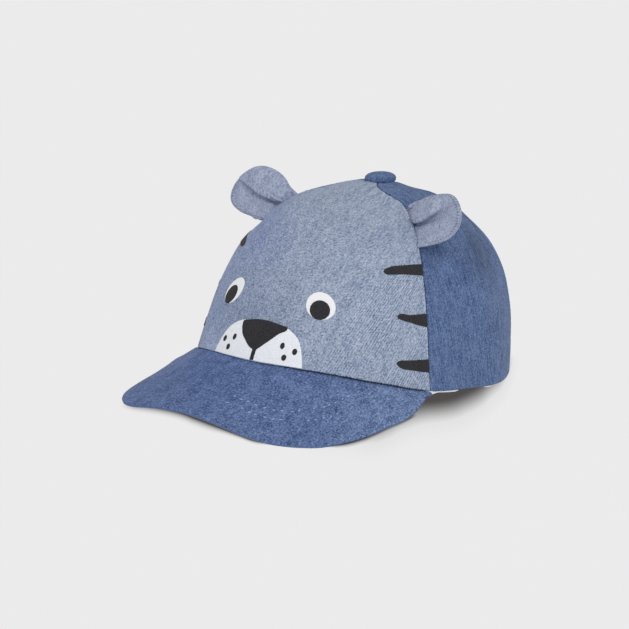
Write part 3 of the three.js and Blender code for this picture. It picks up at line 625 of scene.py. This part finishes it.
def seam_threads():
    """Dark thread in the front seams and over the peak, part stitching and part a painted shade line in the grooves,
    and the worn fold beside each seam.
    """
    rng = np.random.default_rng(90)
    for side, word in ((1, "left"), (-1, "right")):
        for part, (c0, c1) in enumerate(((.015, .5), (.78, .94))):
            c = np.linspace(c0, c1, 400)
            # the navy thread, sunk into each groove, is partly stitching and partly a painted shade line
            for kind, turn, out, pitch, share, width, rise, mat in (("thread", 0, -.42, 2.1, .85, .46, .04, NAVY_THREAD_AND_SHADE), ("fold", 1.15, -.02, 1.35, .62, .34, .06, WORN_THREAD)):
                t = side * (seam_angle(c, side) + turn / np.maximum(mm_per_degree(side * seam_angle(c, side), c), .25))
                x, _, a, b = along_line(skin(t, c, out), pitch, share)
                wide = np.cross(unit(b - a), crown_normal(t, c)[len(c) // 2]) * rng.normal(0, .08, len(a))[:, None]
                cum = np.concatenate([[0], np.cumsum(np.linalg.norm(np.diff(skin(t, c, out), axis=0), axis=1))])
                n = np.stack([np.interp(x, cum, crown_normal(t, c)[:, k]) for k in range(3)], -1)
                stitches(f"seam_{kind}_{word}_{part + 1}", a + wide, b + wide, n, width, rise, mat, steps=5, sink=.06)
    # the navy stitches along the peak's seam are partly stitching and partly a painted shade line in its groove
    angle = np.linspace(18, 67.5, 600)
    line = crown(angle, 0 * angle) + crown_normal(angle, 0 * angle) * .1
    line[:, 2] -= .05
    x, _, a, b = along_line(line, 1.7, .8)
    jump = rng.normal(0, .1, (len(a), 1)) * np.array([[0, 0, 1.0]])
    n = unit(crown_normal(np.interp(x, np.linspace(0, x[-1], 600), angle), 0 * x) + np.array([0, 0, .6]))
    stitches("visor_seam_stitches", a + jump, b + jump, n, .62, .05, NAVY_THREAD_AND_SHADE, steps=5, sink=.1)


seam_threads()


# ------------------------------------------------------------------ sweatband
def band_low(angle):
    """The band's lower edge, which shows behind the peak and in one short place further back."""
    a, rim = fold(angle), rim_at(angle)
    peep = smooth(a, 94, 97.5) * (1 - smooth(a, 100.5, 104))
    return np.maximum(.3, rim - .75 - 1.2 * (1 - smooth(a, 69, 72.5)) + 1.35 * smooth(a, 79, 86) - 1.15 * peep), peep


def band_piece():
    angle = np.linspace(-179.6, 179.6, 361)
    up = np.concatenate([[0, .12, .3, .55, .9, 1.4], np.linspace(2, 22.5, 14), [23.2, 23.7, 24.1, 24.35, 24.5]]) / 24.5
    A, U = np.meshgrid(angle, up, indexing="ij")
    rim = rim_at(A)
    low, peep = band_low(A)
    high = low + (rim + 24 - low) * U
    under = high <= rim
    C = np.where(under, 0, climb_at(A, np.maximum(high, rim + 1e-6)))
    p, n = crown(A, C), crown_normal(A, C)
    p[..., 2] = high
    e = np.minimum(U, 1 - U) * 25
    half = .5 * np.sqrt(np.maximum(1 - (1 - np.clip(e / .5, 0, 1)) ** 2, .01))
    mid = CLOTH + .6 + .5
    wav = waves(p, 31, 18) * .08
    # its lower edge peeps out under the hem behind the peak
    lip = (2.3 * smooth(fold(A), 60, 67) * (1 - smooth(fold(A), 82, 87)) + 2.4 * peep) * smooth(rim - high, -.4, .35)
    outer = p + n * (lip - mid + half + np.minimum(wav, .05))[..., None]
    inner = p + n * (lip - mid - half + wav)[..., None]
    verts, faces, kind = shell_parts(outer, inner)
    k = mm_per_degree(A, 0 * A)
    uv = np.stack([A * 1.3, high], -1).reshape(-1, 2)
    build("sweatband_cloth", verts, faces, np.concatenate([uv, uv]), [BAND], None, ["sweatband"])
    for row, h in enumerate((3.0, 22.0)):
        a = np.linspace(-178, 178, 900)
        r = rim_at(a)
        lo = band_low(a)[0]
        z = lo + (r + 24 - lo) * h / 24.5
        c = climb_at(a, np.maximum(z, r + 1e-6))
        pp, nn = crown(a, c), crown_normal(a, c)
        pp[:, 2] = z
        pts = pp - nn * (mid + .5)
        x, L, s0, s1 = along_line(pts, 3.2, .62)
        cum = np.concatenate([[0], np.cumsum(np.linalg.norm(np.diff(pts, axis=0), axis=1))])
        m = np.stack([np.interp(x, cum, -nn[:, k]) for k in range(3)], -1)
        stitches(f"sweatband_stitches_{row + 1}", s0, s1, m, .4, .1, WHITE_THREAD, steps=4)


band_piece()

# ------------------------------------------------------------------ ears
EAR_ALONG = [0, .1, .22, .36, .5, .62, .73, .83, .91, .96, 1]
EAR_FORE = spline(EAR_ALONG, [-2.3, .8, 1.3, -.7, -4.4, -6.9, -8.7, -10.5, -11.4, -12.4, -12.6])
EARS = {     # outline to the side and up, the climb where the ear starts, folds and ends, where the fold runs and fades out
    1: (spline(EAR_ALONG, [33.5, 38.1, 46.2, 57.6, 64.5, 65.2, 61.6, 56.2, 51.1, 48.1, 45.3]),
        spline(EAR_ALONG, [88.5, 91.9, 95.3, 97.1, 91.3, 84.5, 79, 75.9, 74.2, 73.5, 72.8]), .755, .665, .54, .42, .42, .84),
    -1: (spline(EAR_ALONG, [32.4, 39.7, 46.1, 55.1, 62.4, 66.7, 66.7, 60.4, 53.8, 49.2, 45.9]),
         spline(EAR_ALONG, [85.2, 88.7, 94, 95.7, 91.4, 85.2, 78.3, 74.6, 73.7, 73.7, 73.4]), .695, .645, .52, .53, .7, 1.08),
}
EAR_THICK, EAR_PLEAT, EAR_STEP, EAR_CUP = 2.2, .56, 3.2, 1.2


def ear_mid(side, a, b, stand=-.4):
    wide, high, top, pleat, bottom = EARS[side][:5]
    climb = np.where(a < EAR_PLEAT, top + (pleat - top) * a / EAR_PLEAT, pleat + (bottom - pleat) * (a - EAR_PLEAT) / (1 - EAR_PLEAT))
    t = side * (seam_angle(climb, side) + .5)
    root = crown(t, climb) + crown_normal(t, climb) * stand
    edge = np.stack([side * wide(a), EAR_FORE(a) + ORIGIN_Y, high(a)], -1)
    return root + (edge - root) * b[..., None]


def ear_run(side, a, b):
    """The fold moves along the outline on its way out from the seam."""
    bump = np.where(a < EAR_PLEAT, a / EAR_PLEAT, (1 - a) / (1 - EAR_PLEAT))
    return a + (EARS[side][5] - EAR_PLEAT) * smooth(b, 0, .8) * bump


def ear_sheet(side, a, b):
    """Middle of the ear's cloth and the way that it faces, with the pleat folded over."""
    d = .01
    t = ear_run(side, a, b)
    n = unit(np.cross(ear_mid(side, t + d, b) - ear_mid(side, t - d, b), ear_mid(side, t, b + d) - ear_mid(side, t, b - d)))
    n = n * np.where(n[..., 1:2] > 0, -1, 1)
    fade = smooth(b, -.06, .14) * (1 - smooth(b, *EARS[side][6:]))
    lap = smooth(a, .12, .52) * (1 - smooth(a, EAR_PLEAT - .004, EAR_PLEAT + .02)) * fade
    cup = np.sin(np.pi * np.clip(a, 0, 1)) * np.sin(np.pi * np.clip(b, 0, 1)) * EAR_CUP
    # the upper layer's edge reaches over, and the lower layer starts under it
    along = unit(ear_mid(side, t + d, b) - ear_mid(side, t - d, b))
    u = (a - (EAR_PLEAT + .008)) / .04
    over = (np.exp(-((u + .5) / .5) ** 2) * 1.5 - np.exp(-((u - .5) / .5) ** 2) * 1.5) * fade
    dent = (-1.9 if side > 0 else -1.0) * np.exp(-((u - 1.25) / 1.1) ** 2) * fade
    p = ear_mid(side, t, b) + n * (EAR_STEP * lap + cup + dent)[..., None] + along * over[..., None]
    return p, n


def ear_piece(side, name, node):
    a = np.unique(np.concatenate([np.linspace(0, .5, 44), np.linspace(.5, .64, 60), np.linspace(.64, 1, 40),
                                  [.002, .005, .01, .016, .99, .995, .998, .984]]))
    b = 1 - fine_edges(34, .75, edge=(0, .1, .25, .45, .7, 1.0, 1.4, 1.9, 2.5), both=False)[::-1] / 34
    A, B = np.meshgrid(a, b, indexing="ij")
    p, _ = ear_sheet(side, A, B)
    # normals of the folded sheet itself
    da, db = np.gradient(p, axis=0), np.gradient(p, axis=1)
    n = unit(np.cross(da, db))
    if np.median(n[..., 1]) > 0:
        n = -n
    s = np.linspace(0, 1, 500)
    rim_line = np.concatenate([ear_sheet(side, 0 * s, s)[0], ear_sheet(side, s, 1 + 0 * s)[0], ear_sheet(side, 1 + 0 * s, s)[0]])
    flat = p.reshape(-1, 3)
    e = np.concatenate([np.linalg.norm(flat[k:k + 2000, None] - rim_line[None], axis=-1).min(1) for k in range(0, len(flat), 2000)]).reshape(A.shape)
    half = EAR_THICK / 2 * np.sqrt(np.maximum(1 - (1 - np.clip(e / 1.3, 0, 1)) ** 2, .004))
    half = half * (1 - .12 * np.exp(-((e - 2.2) / .7) ** 2)) * (.6 + .4 * smooth(B, 0, .2))
    puff = waves(p, 41 + side, 14) * .2 * smooth(e, .5, 4)
    front = p + n * (half + puff)[..., None]
    back = p - n * (half - puff)[..., None]
    uv = np.stack([side * p[..., 0], p[..., 2]], -1).reshape(-1, 2)
    verts, faces, kind = shell_parts(front, back)
    build(name, verts, faces, np.concatenate([uv, uv + 31]), [EAR], None, [node])
    # small stitches over the rim
    aa = np.linspace(.06, .97, 900)
    q, m = ear_sheet(side, aa, np.full(len(aa), 1.0))
    inw, _ = ear_sheet(side, aa, np.full(len(aa), .97))
    inward = unit(inw - q)
    cum = np.concatenate([[0], np.cumsum(np.linalg.norm(np.diff(q, axis=0), axis=1))])
    x = np.arange(.8, cum[-1] - .8, 1.45)
    rng = np.random.default_rng(70 + side)
    x = x + rng.normal(0, .12, len(x))
    at = lambda z: np.stack([np.interp(x, cum, z[:, k]) for k in range(3)], -1)
    q, m, inward = at(q), unit(at(m)), unit(at(inward))
    s0, s1 = q + inward * .35 + m * (EAR_THICK / 2 * .62), q + inward * (1.5 + rng.normal(0, .12, len(x)))[:, None] + m * (EAR_THICK / 2 - .08)
    stitches(name + "_stitches", s0, s1, m, .34, .1, EAR_THREAD, steps=4, sink=.05)
    # dark marks between the rim stitches paint the shade in the needle holes
    gap = (q + inward * 1.25 + m * (EAR_THICK / 2 - .06))
    gap = (gap[1:] + gap[:-1]) / 2
    stitches(name + "_holes", gap - inward[1:] * .3, gap + inward[1:] * .3, m[1:], .42, .03, HOLE_SHADE_THREAD, steps=4, sink=.03)
    if side > 0:
        # the tack that holds the ear's upper end in the seam
        c = np.linspace(.69, .745, 6)
        t = seam_angle(c)
        p0, p1 = skin(t - 2.6 - rng.uniform(0, 1.4, 6), c + .006, .08), skin(t - .4, c, -.3)
        stitches("ear_left_tack", p0, p1, crown_normal(t, c), .38, .3, WHITE_THREAD, steps=5)


ear_piece(1, "ear_left_cloth", "ear_left")
ear_piece(-1, "ear_right_cloth", "ear_right")


# ------------------------------------------------------------------ button
def button_piece():
    prof = np.array([(0, -.2), (3, -.2), (5.4, -.1), (6.6, .1), (7.15, .45), (7.5, .95), (7.62, 1.6), (7.45, 2.3), (6.9, 3.0), (5.9, 3.6), (4.6, 4.0), (3.0, 4.27), (1.5, 4.36), (0, 4.38)])
    L = np.concatenate([[0], np.cumsum(np.linalg.norm(np.diff(prof, axis=0), axis=1))])
    t = np.linspace(0, L[-1], 64)
    rr, zz = spline(L, prof[:, 0])(t), spline(L, prof[:, 1])(t)
    rr[0] = rr[-1] = 0
    rr = np.maximum(rr, 0)
    th = np.linspace(0, 2 * np.pi, 96, endpoint=False)
    T, R = np.meshgrid(th, rr, indexing="ij")
    Z = np.broadcast_to(zz[None], T.shape)
    top = crown(0.0, 1.0)
    gather = .12 * np.sin(T * 17 + np.sin(T * 3)) * np.exp(-((Z - .6) / .9) ** 2) * (R > 5)
    P = np.stack([top[0] + (R + gather) * np.cos(T), top[1] + (R + gather) * np.sin(T), top[2] + Z], -1)
    P[..., 2] += waves(P, 51, 6) * .07 * smooth(Z, 3, 5)
    P[..., 2] += (P[..., 0] - top[0]) * .02
    n, m = T.shape
    verts = [P[0, 0], P[0, -1]] + list(P[:, 1:-1].reshape(-1, 3))
    k = m - 2
    ident = lambda i, j: 2 + (i % n) * k + (j - 1)
    faces = []
    for i in range(n):
        faces.append((0, ident(i + 1, 1), ident(i, 1)))
        faces.append((1, ident(i, m - 2), ident(i + 1, m - 2)))
        for j in range(1, m - 2):
            faces.append((ident(i, j), ident(i + 1, j), ident(i + 1, j + 1), ident(i, j + 1)))
    verts = np.array(verts)
    d = verts - top
    h = np.hypot(d[:, 0], d[:, 1])
    arc = np.where(d[:, 2] > 3.4, 11 - np.sqrt(np.maximum(7.7 - h, 0)) * 3.9, 11 + 3.4 - d[:, 2])
    dirn = np.stack([d[:, 0], d[:, 1]], -1) / np.maximum(h, 1e-6)[:, None]
    build("button_cloth", verts, faces, dirn * arc[:, None], [DARK], None, ["button"])


button_piece()

# ------------------------------------------------------------------ the face
def closed_curve(points, count, corners=()):
    """A smooth closed outline through points, with as many points as asked."""
    p = np.asarray(points, float)
    n = len(p)
    out = []
    for i in range(n):
        p0, p1, p2, p3 = p[i - 1], p[i], p[(i + 1) % n], p[(i + 2) % n]
        if i in corners:
            p0 = 2 * p1 - p2
        if (i + 1) % n in corners:
            p3 = 2 * p2 - p1
        t0, t1 = 0.0, max(np.linalg.norm((p1 - p0) * [1.3, 1]) ** .5, 1e-3)
        t2 = t1 + max(np.linalg.norm((p2 - p1) * [1.3, 1]) ** .5, 1e-3)
        t3 = t2 + max(np.linalg.norm((p3 - p2) * [1.3, 1]) ** .5, 1e-3)
        for t in np.linspace(t1, t2, 24, endpoint=False):
            a1 = (t1 - t) / (t1 - t0) * p0 + (t - t0) / (t1 - t0) * p1
            a2 = (t2 - t) / (t2 - t1) * p1 + (t - t1) / (t2 - t1) * p2
            a3 = (t3 - t) / (t3 - t2) * p2 + (t - t2) / (t3 - t2) * p3
            b1 = (t2 - t) / (t2 - t0) * a1 + (t - t0) / (t2 - t0) * a2
            b2 = (t3 - t) / (t3 - t1) * a2 + (t - t1) / (t3 - t1) * a3
            out.append((t2 - t) / (t2 - t1) * b1 + (t - t1) / (t2 - t1) * b2)
    out = np.array(out)
    loop = np.vstack([out, out[:1]])
    L = np.concatenate([[0], np.cumsum(np.linalg.norm(np.diff(loop, axis=0) * [1.3, 1], axis=1))])
    s = np.linspace(0, L[-1], count, endpoint=False)
    return np.stack([np.interp(s, L, loop[:, 0]), np.interp(s, L, loop[:, 1])], -1)


def patch(name, outline, middle, mat, node, low=-.15, high=.28, rings=14, ragged=.06, seed=1):
    """A thin piece on the crown, inside an outline of angles and heights."""
    o, c = np.asarray(outline, float), np.asarray(middle, float)
    rng = np.random.default_rng(seed)
    reach = o - c
    k = 1 + rng.normal(size=len(o)) * ragged / np.maximum(np.linalg.norm(reach * [1.3, 1], axis=1), 1)
    o = c + reach * k[:, None]
    far = np.linalg.norm((o - c) * [1.3, 1], axis=1)
    shares = np.concatenate([np.linspace(1 / rings, .9, rings - 1), [.95, .975, .99, 1.0]])
    pts = c + (o - c)[None] * shares[:, None, None]
    A, H = pts[..., 0], pts[..., 1]
    d = (1 - shares)[:, None] * far[None]
    C = climb_at(A, np.maximum(H, rim_at(A) + .02))
    lift = high + roll(d, .3, high - low - .06)
    front = skin(A, C, lift, True)
    back = skin(A, C, np.minimum(low, lift - .04), True)
    ca = np.array([c[0]]); cc = climb_at(ca, c[1])
    verts = np.concatenate([skin(ca, cc, high, True), front.reshape(-1, 3), skin(ca, cc, low, True), back.reshape(-1, 3)])
    n, r = len(o), len(shares)
    base = 1 + n * r
    ident = lambda f, q, i: f * base + 1 + q * n + (i % n)
    i = np.arange(n)
    faces = [(0, ident(0, 0, x), ident(0, 0, x + 1)) for x in i] + [(base, ident(1, 0, x + 1), ident(1, 0, x)) for x in i]
    for q in range(r - 1):
        faces += [(ident(0, q, x), ident(0, q + 1, x), ident(0, q + 1, x + 1), ident(0, q, x + 1)) for x in i]
        faces += [(ident(1, q, x), ident(1, q, x + 1), ident(1, q + 1, x + 1), ident(1, q + 1, x)) for x in i]
    faces += [(ident(0, r - 1, x), ident(1, r - 1, x), ident(1, r - 1, x + 1), ident(0, r - 1, x + 1)) for x in i]
    flat = np.concatenate([[c], pts.reshape(-1, 2)]) * [1.3, 1]
    return build(name, verts, faces, np.concatenate([flat, flat]), [mat], None, [node])


def oval(angle, high, wide, tall, lean, side, count):
    a = np.linspace(0, 2 * np.pi, count, endpoint=False)
    return np.stack([side * (angle + wide * np.cos(a) + lean * np.sin(a)), high + tall * np.sin(a)], -1)


MUZZLE = [(0, 43.2), (5, 42.9), (9, 42.2), (12.6, 41.1), (15.1, 39.6), (17.4, 37.6), (19, 35), (20, 32), (20.7, 29), (21.1, 26), (21.2, 24.75)]
half = closed_curve(MUZZLE + [(-a, h) for a, h in MUZZLE[::-1][:-1]], 260, corners=(10, 11))
half[:, 1] = np.maximum(half[:, 1], rim_at(half[:, 0]) + .45)
patch("muzzle_cloth", half, (0, 33), WHITE, "muzzle", rings=20, ragged=.03)
NOSE = [(.8, 43.4), (5.2, 43), (9.3, 42.2), (12.4, 41.3), (12.2, 40.2), (9.5, 38.7), (6, 35.5), (2.5, 32.2), (1.1, 30.8), (1.15, 26.5),
        (-.5, 26.5), (-.6, 30.8), (-2.9, 31.8), (-5.7, 33.9), (-8.2, 36), (-9.9, 38.7), (-10.5, 41.2), (-7.3, 42.4), (-3.2, 43.2)]
patch("nose_cloth", closed_curve(NOSE, 300, corners=(8, 9, 10, 11)), (0, 38.5), BLACK, "nose", low=.1, high=.5, rings=16, ragged=.05, seed=2)
DOTS = [(12, 34), (17.4, 32), (13.6, 29.3)]
STRIPES = [
    (-5, 1.4, [(51.2, 65.3, 64.7), (52.5, 66.1, 63.7), (54.8, 66.6, 63.4), (60, 66.8, 63.1), (65, 66.5, 62.3), (70.6, 65.9, 61.1)]),
    (0, 0, [(56.8, 45.8, 45.1), (57.6, 46.6, 44.4), (58.9, 46.6, 43.7), (62.2, 45.6, 42.1), (66.3, 45.2, 40.1), (69.3, 44.8, 38.8)]),
    (-11, 4.5, [(55.6, 25.4, 24.9), (56.4, 26, 23.7), (57.6, 26.2, 22.6), (61.1, 25.6, 21.1), (65.3, 25, 19.6), (68.6, 24.5, 18.4)]),
]
EYES = {1: ((24.1, 51.4, 6.6, 5.75, -1.6), (24.2, 49.7, 4.45, 4.05, -.8)), -1: ((26.3, 50.9, 6, 5.8, -1.3), (26.8, 49.1, 4, 4.05, -.6))}
for word, side in (("left", 1), ("right", -1)):
    eye, pupil = EYES[side]
    patch(f"eye_white_{word}_cloth", oval(*eye, side, 120), (side * eye[0], eye[1]), BRIGHT, f"eye_white_{word}", rings=9, ragged=.04, seed=3)
    patch(f"pupil_{word}_cloth", oval(*pupil, side, 90), (side * pupil[0], pupil[1]), BLACK, f"pupil_{word}", low=.1, high=.5, rings=7, ragged=.05, seed=4)
    for i, (a, h) in enumerate(DOTS):
        patch(f"whisker_dot_{word}_{i + 1}_cloth", oval(a, h, 1, 1.35, 0, side, 36), (side * a, h), BLACK, f"whisker_dot_{word}_{i + 1}", low=.1, high=.5, rings=4, ragged=.06, seed=10 + i)
    for i, (turn, lift, rows) in enumerate(STRIPES):
        turn, lift = (turn, lift) if side < 0 else (0, 0)
        last = len(rows) - 1
        rows = [(a + turn * (1 - k / last), u + lift, l + lift) for k, (a, u, l) in enumerate(rows)]
        # the last row lies in the seam
        (a, u, l), (a0, u0, l0) = rows[-1], rows[-2]
        su, sl = seam_angle(climb_at(a, u)), seam_angle(climb_at(a, l))
        rows[-1] = (a, u, l)
        top = [(r[0], r[1]) for r in rows[:-1]] + [(float(su) - .25, u)]
        bot = [(float(sl) - .25, l)] + [(r[0], r[2]) for r in rows[:-1][::-1]]
        ring = closed_curve(top + bot, 170, corners=(last, last + 1))
        ring[:, 0] *= side
        mid = np.mean([ring[:, 0].min(), ring[:, 0].max()]), np.interp(side * np.mean([ring[:, 0].min(), ring[:, 0].max()]), [r[0] for r in rows], [(r[1] + r[2]) / 2 for r in rows])
        patch(f"stripe_{word}_{i + 1}_cloth", ring, mid, BLACK, f"stripe_{word}_{i + 1}", rings=8, ragged=.06, seed=20 + i)

# ------------------------------------------------------------------ floor and light
# the second floor colour is the colour of the painted shadows
FLOOR_WHITE, FLOOR_SHADOW = (.8308, .8308, .8308), (.08, .074, .073)
# the painted soft shadow beside the cap: its middle line on the floor, in mm across and towards the camera
SHADE_LINE = [(-100, -10), (-80, 5), (-60, 20), (-40, 40), (-20, 60), (0, 70), (12, 74), (21.7, 79), (28.8, 72), (35.9, 60), (45.3, 50), (53.8, 46),
              (59.5, 42.5), (66.6, 33.5), (73.7, 21.5), (77.5, 11.5), (80.8, 2), (84, -7), (88, -26), (92, -52), (96, -78), (100, -100)]
# the narrow painted shadow under the peak: where it starts, and its depth there
PEAK_LINE = [(-100, 31), (-91.4, 36), (-82, 37.8), (-74.8, 40.5), (-67.7, 45.5), (-60.4, 54.5), (-53.2, 63.5), (-46, 72.5), (-38.9, 81.5), (-31.9, 89.5), (-25, 93.5),
             (-18.1, 96.5), (-11.3, 98), (-2.2, 97.5), (6.9, 95.5), (16.1, 88), (23, 79), (30, 68), (35, 61), (50, 38), (70, 0), (100, -60)]
PEAK_DEPTH = [(-100, 3), (-91.4, 8), (-82, 12), (-74.8, 13.5), (-60.4, 14.6), (-53.2, 13.5), (-46, 9.5), (-38.9, 6.5), (-31.9, 6), (-25, 3.4), (-18, 1.5),
              (-2, 1.5), (6.9, 6.5), (16, 10), (23, 12), (35, 12), (50, 3), (100, 1)]


def stage():
    """A pale floor that glows evenly, with a painted soft shadow beside the cap and under it, and painted occlusion
    shade behind it.
    """
    me = bpy.data.meshes.new("floor")
    me.from_pydata([(-14, -14, 0), (14, -14, 0), (14, 14, 0), (-14, 14, 0)], [], [(0, 1, 2, 3)])
    floor = bpy.data.objects.new("floor", me)
    bpy.context.scene.collection.objects.link(floor)
    g = Graph("floor")
    place = g.add("ShaderNodeNewGeometry").outputs["Position"]
    dot = lambda x, y: g.add("ShaderNodeVectorMath", {"operation": "DOT_PRODUCT"}, {0: place, 1: (x * 1000, y * 1000, 0)}).outputs["Value"]
    across, near = dot(.811, .585), dot(.585, -.811)
    share = g.add("ShaderNodeMapRange", None, {"Value": across, "From Min": -100.0, "From Max": 100.0}).outputs[0]

    def drawn(line):
        """The line's second number at this place across."""
        curve = g.add("ShaderNodeFloatCurve", None, {"Value": share})
        points = curve.mapping.curves[0].points
        for k, (x, y) in enumerate(line):
            spot = ((x + 100) / 200, (y + 100) / 200)
            if k in (0, len(line) - 1):
                points[0 if k == 0 else len(points) - 1].location = spot
            else:
                points.new(*spot)
        curve.mapping.update()
        return g.math("MULTIPLY_ADD", curve.outputs[0], 200, -100)

    past = g.math("SUBTRACT", near, drawn(SHADE_LINE))
    cast = g.math("MAXIMUM", g.ramp(past, -23, 23, 1, 0), g.ramp(past, -10, 48, .14, 0))
    cast = g.math("MULTIPLY", cast, g.math("MULTIPLY", g.ramp(near, -58, -28), g.math("MULTIPLY", g.ramp(across, -30, 5), g.ramp(across, 90, 99, 1, 0))))
    past = g.math("SUBTRACT", near, drawn(PEAK_LINE))
    peak = g.math("SUBTRACT", 1, g.math("DIVIDE", past, drawn(PEAK_DEPTH)), clamp=True)
    peak = g.math("MULTIPLY", g.math("MULTIPLY", peak, peak), g.math("MULTIPLY", g.ramp(across, -97, -88), g.ramp(across, -92, -68, .5, 1)))
    peak = g.math("MULTIPLY", peak, g.math("MAXIMUM", g.ramp(past, -12, -5), g.ramp(across, -78, -66)))
    under = g.math("MAXIMUM", g.ramp(near, -10, 20), g.math("MULTIPLY", g.ramp(across, -66, -58), g.ramp(near, -55, -30)))
    peak = g.math("MULTIPLY", peak, g.math("MULTIPLY", under, g.ramp(across, 38, 50, 1, 0)))
    behind = g.math("MAXIMUM", g.ramp(near, -95, -75, 1, 0), g.math("MULTIPLY", g.ramp(near, -40, -8, 1, 0), g.ramp(across, 66, 80, 1, 0)))
    # painted shade: the floor's glow darkens where little open sky is seen within 40 mm
    open_sky = g.add("ShaderNodeAmbientOcclusion", {"samples": 8}, {"Distance": .04}).outputs["AO"]
    shade = g.add("ShaderNodeMapRange", None, {"Value": open_sky, "From Min": .15, "From Max": .6, "To Min": 1.0, "To Max": 0.0}).outputs[0]
    shade = g.math("MAXIMUM", g.math("MAXIMUM", g.math("MULTIPLY", shade, behind), cast), peak)
    e = g.add("ShaderNodeEmission", None, {"Strength": 1.0, "Color": g.mix(shade, FLOOR_WHITE, FLOOR_SHADOW)})
    o = g.add("ShaderNodeOutputMaterial")
    g.t.links.new(e.outputs[0], o.inputs[0])
    me.materials.append(g.m)


stage()
world = bpy.data.worlds.new("world")
bpy.context.scene.world = world
world.use_nodes = True
world.node_tree.nodes["Background"].inputs[0].default_value = (1, 1, 1, 1)
world.node_tree.nodes["Background"].inputs[1].default_value = .64


def sun(name, azimuth, elevation, strength, size, color=(1, 1, 1)):
    """A soft light from azimuth (0 is the cap's front, positive to the wearer's left)."""
    a, e = math.radians(azimuth), math.radians(elevation)
    d = np.array([math.sin(a) * math.cos(e), -math.cos(a) * math.cos(e), math.sin(e)])
    lamp = bpy.data.lights.new(name, "SUN")
    lamp.energy, lamp.angle, lamp.color = strength, math.radians(size), color
    ob = bpy.data.objects.new(name, lamp)
    bpy.context.scene.collection.objects.link(ob)
    x = unit(np.cross([0, 0, 1.0], d))
    ob.matrix_world = Matrix([[*r, 0] for r in np.stack([x, np.cross(d, x), d], 1)] + [[0, 0, 0, 1]])


sun("key", 47, 42, .93, 32)
bpy.context.scene.view_settings.view_transform = "Standard"
bpy.context.scene.view_settings.look = "None"
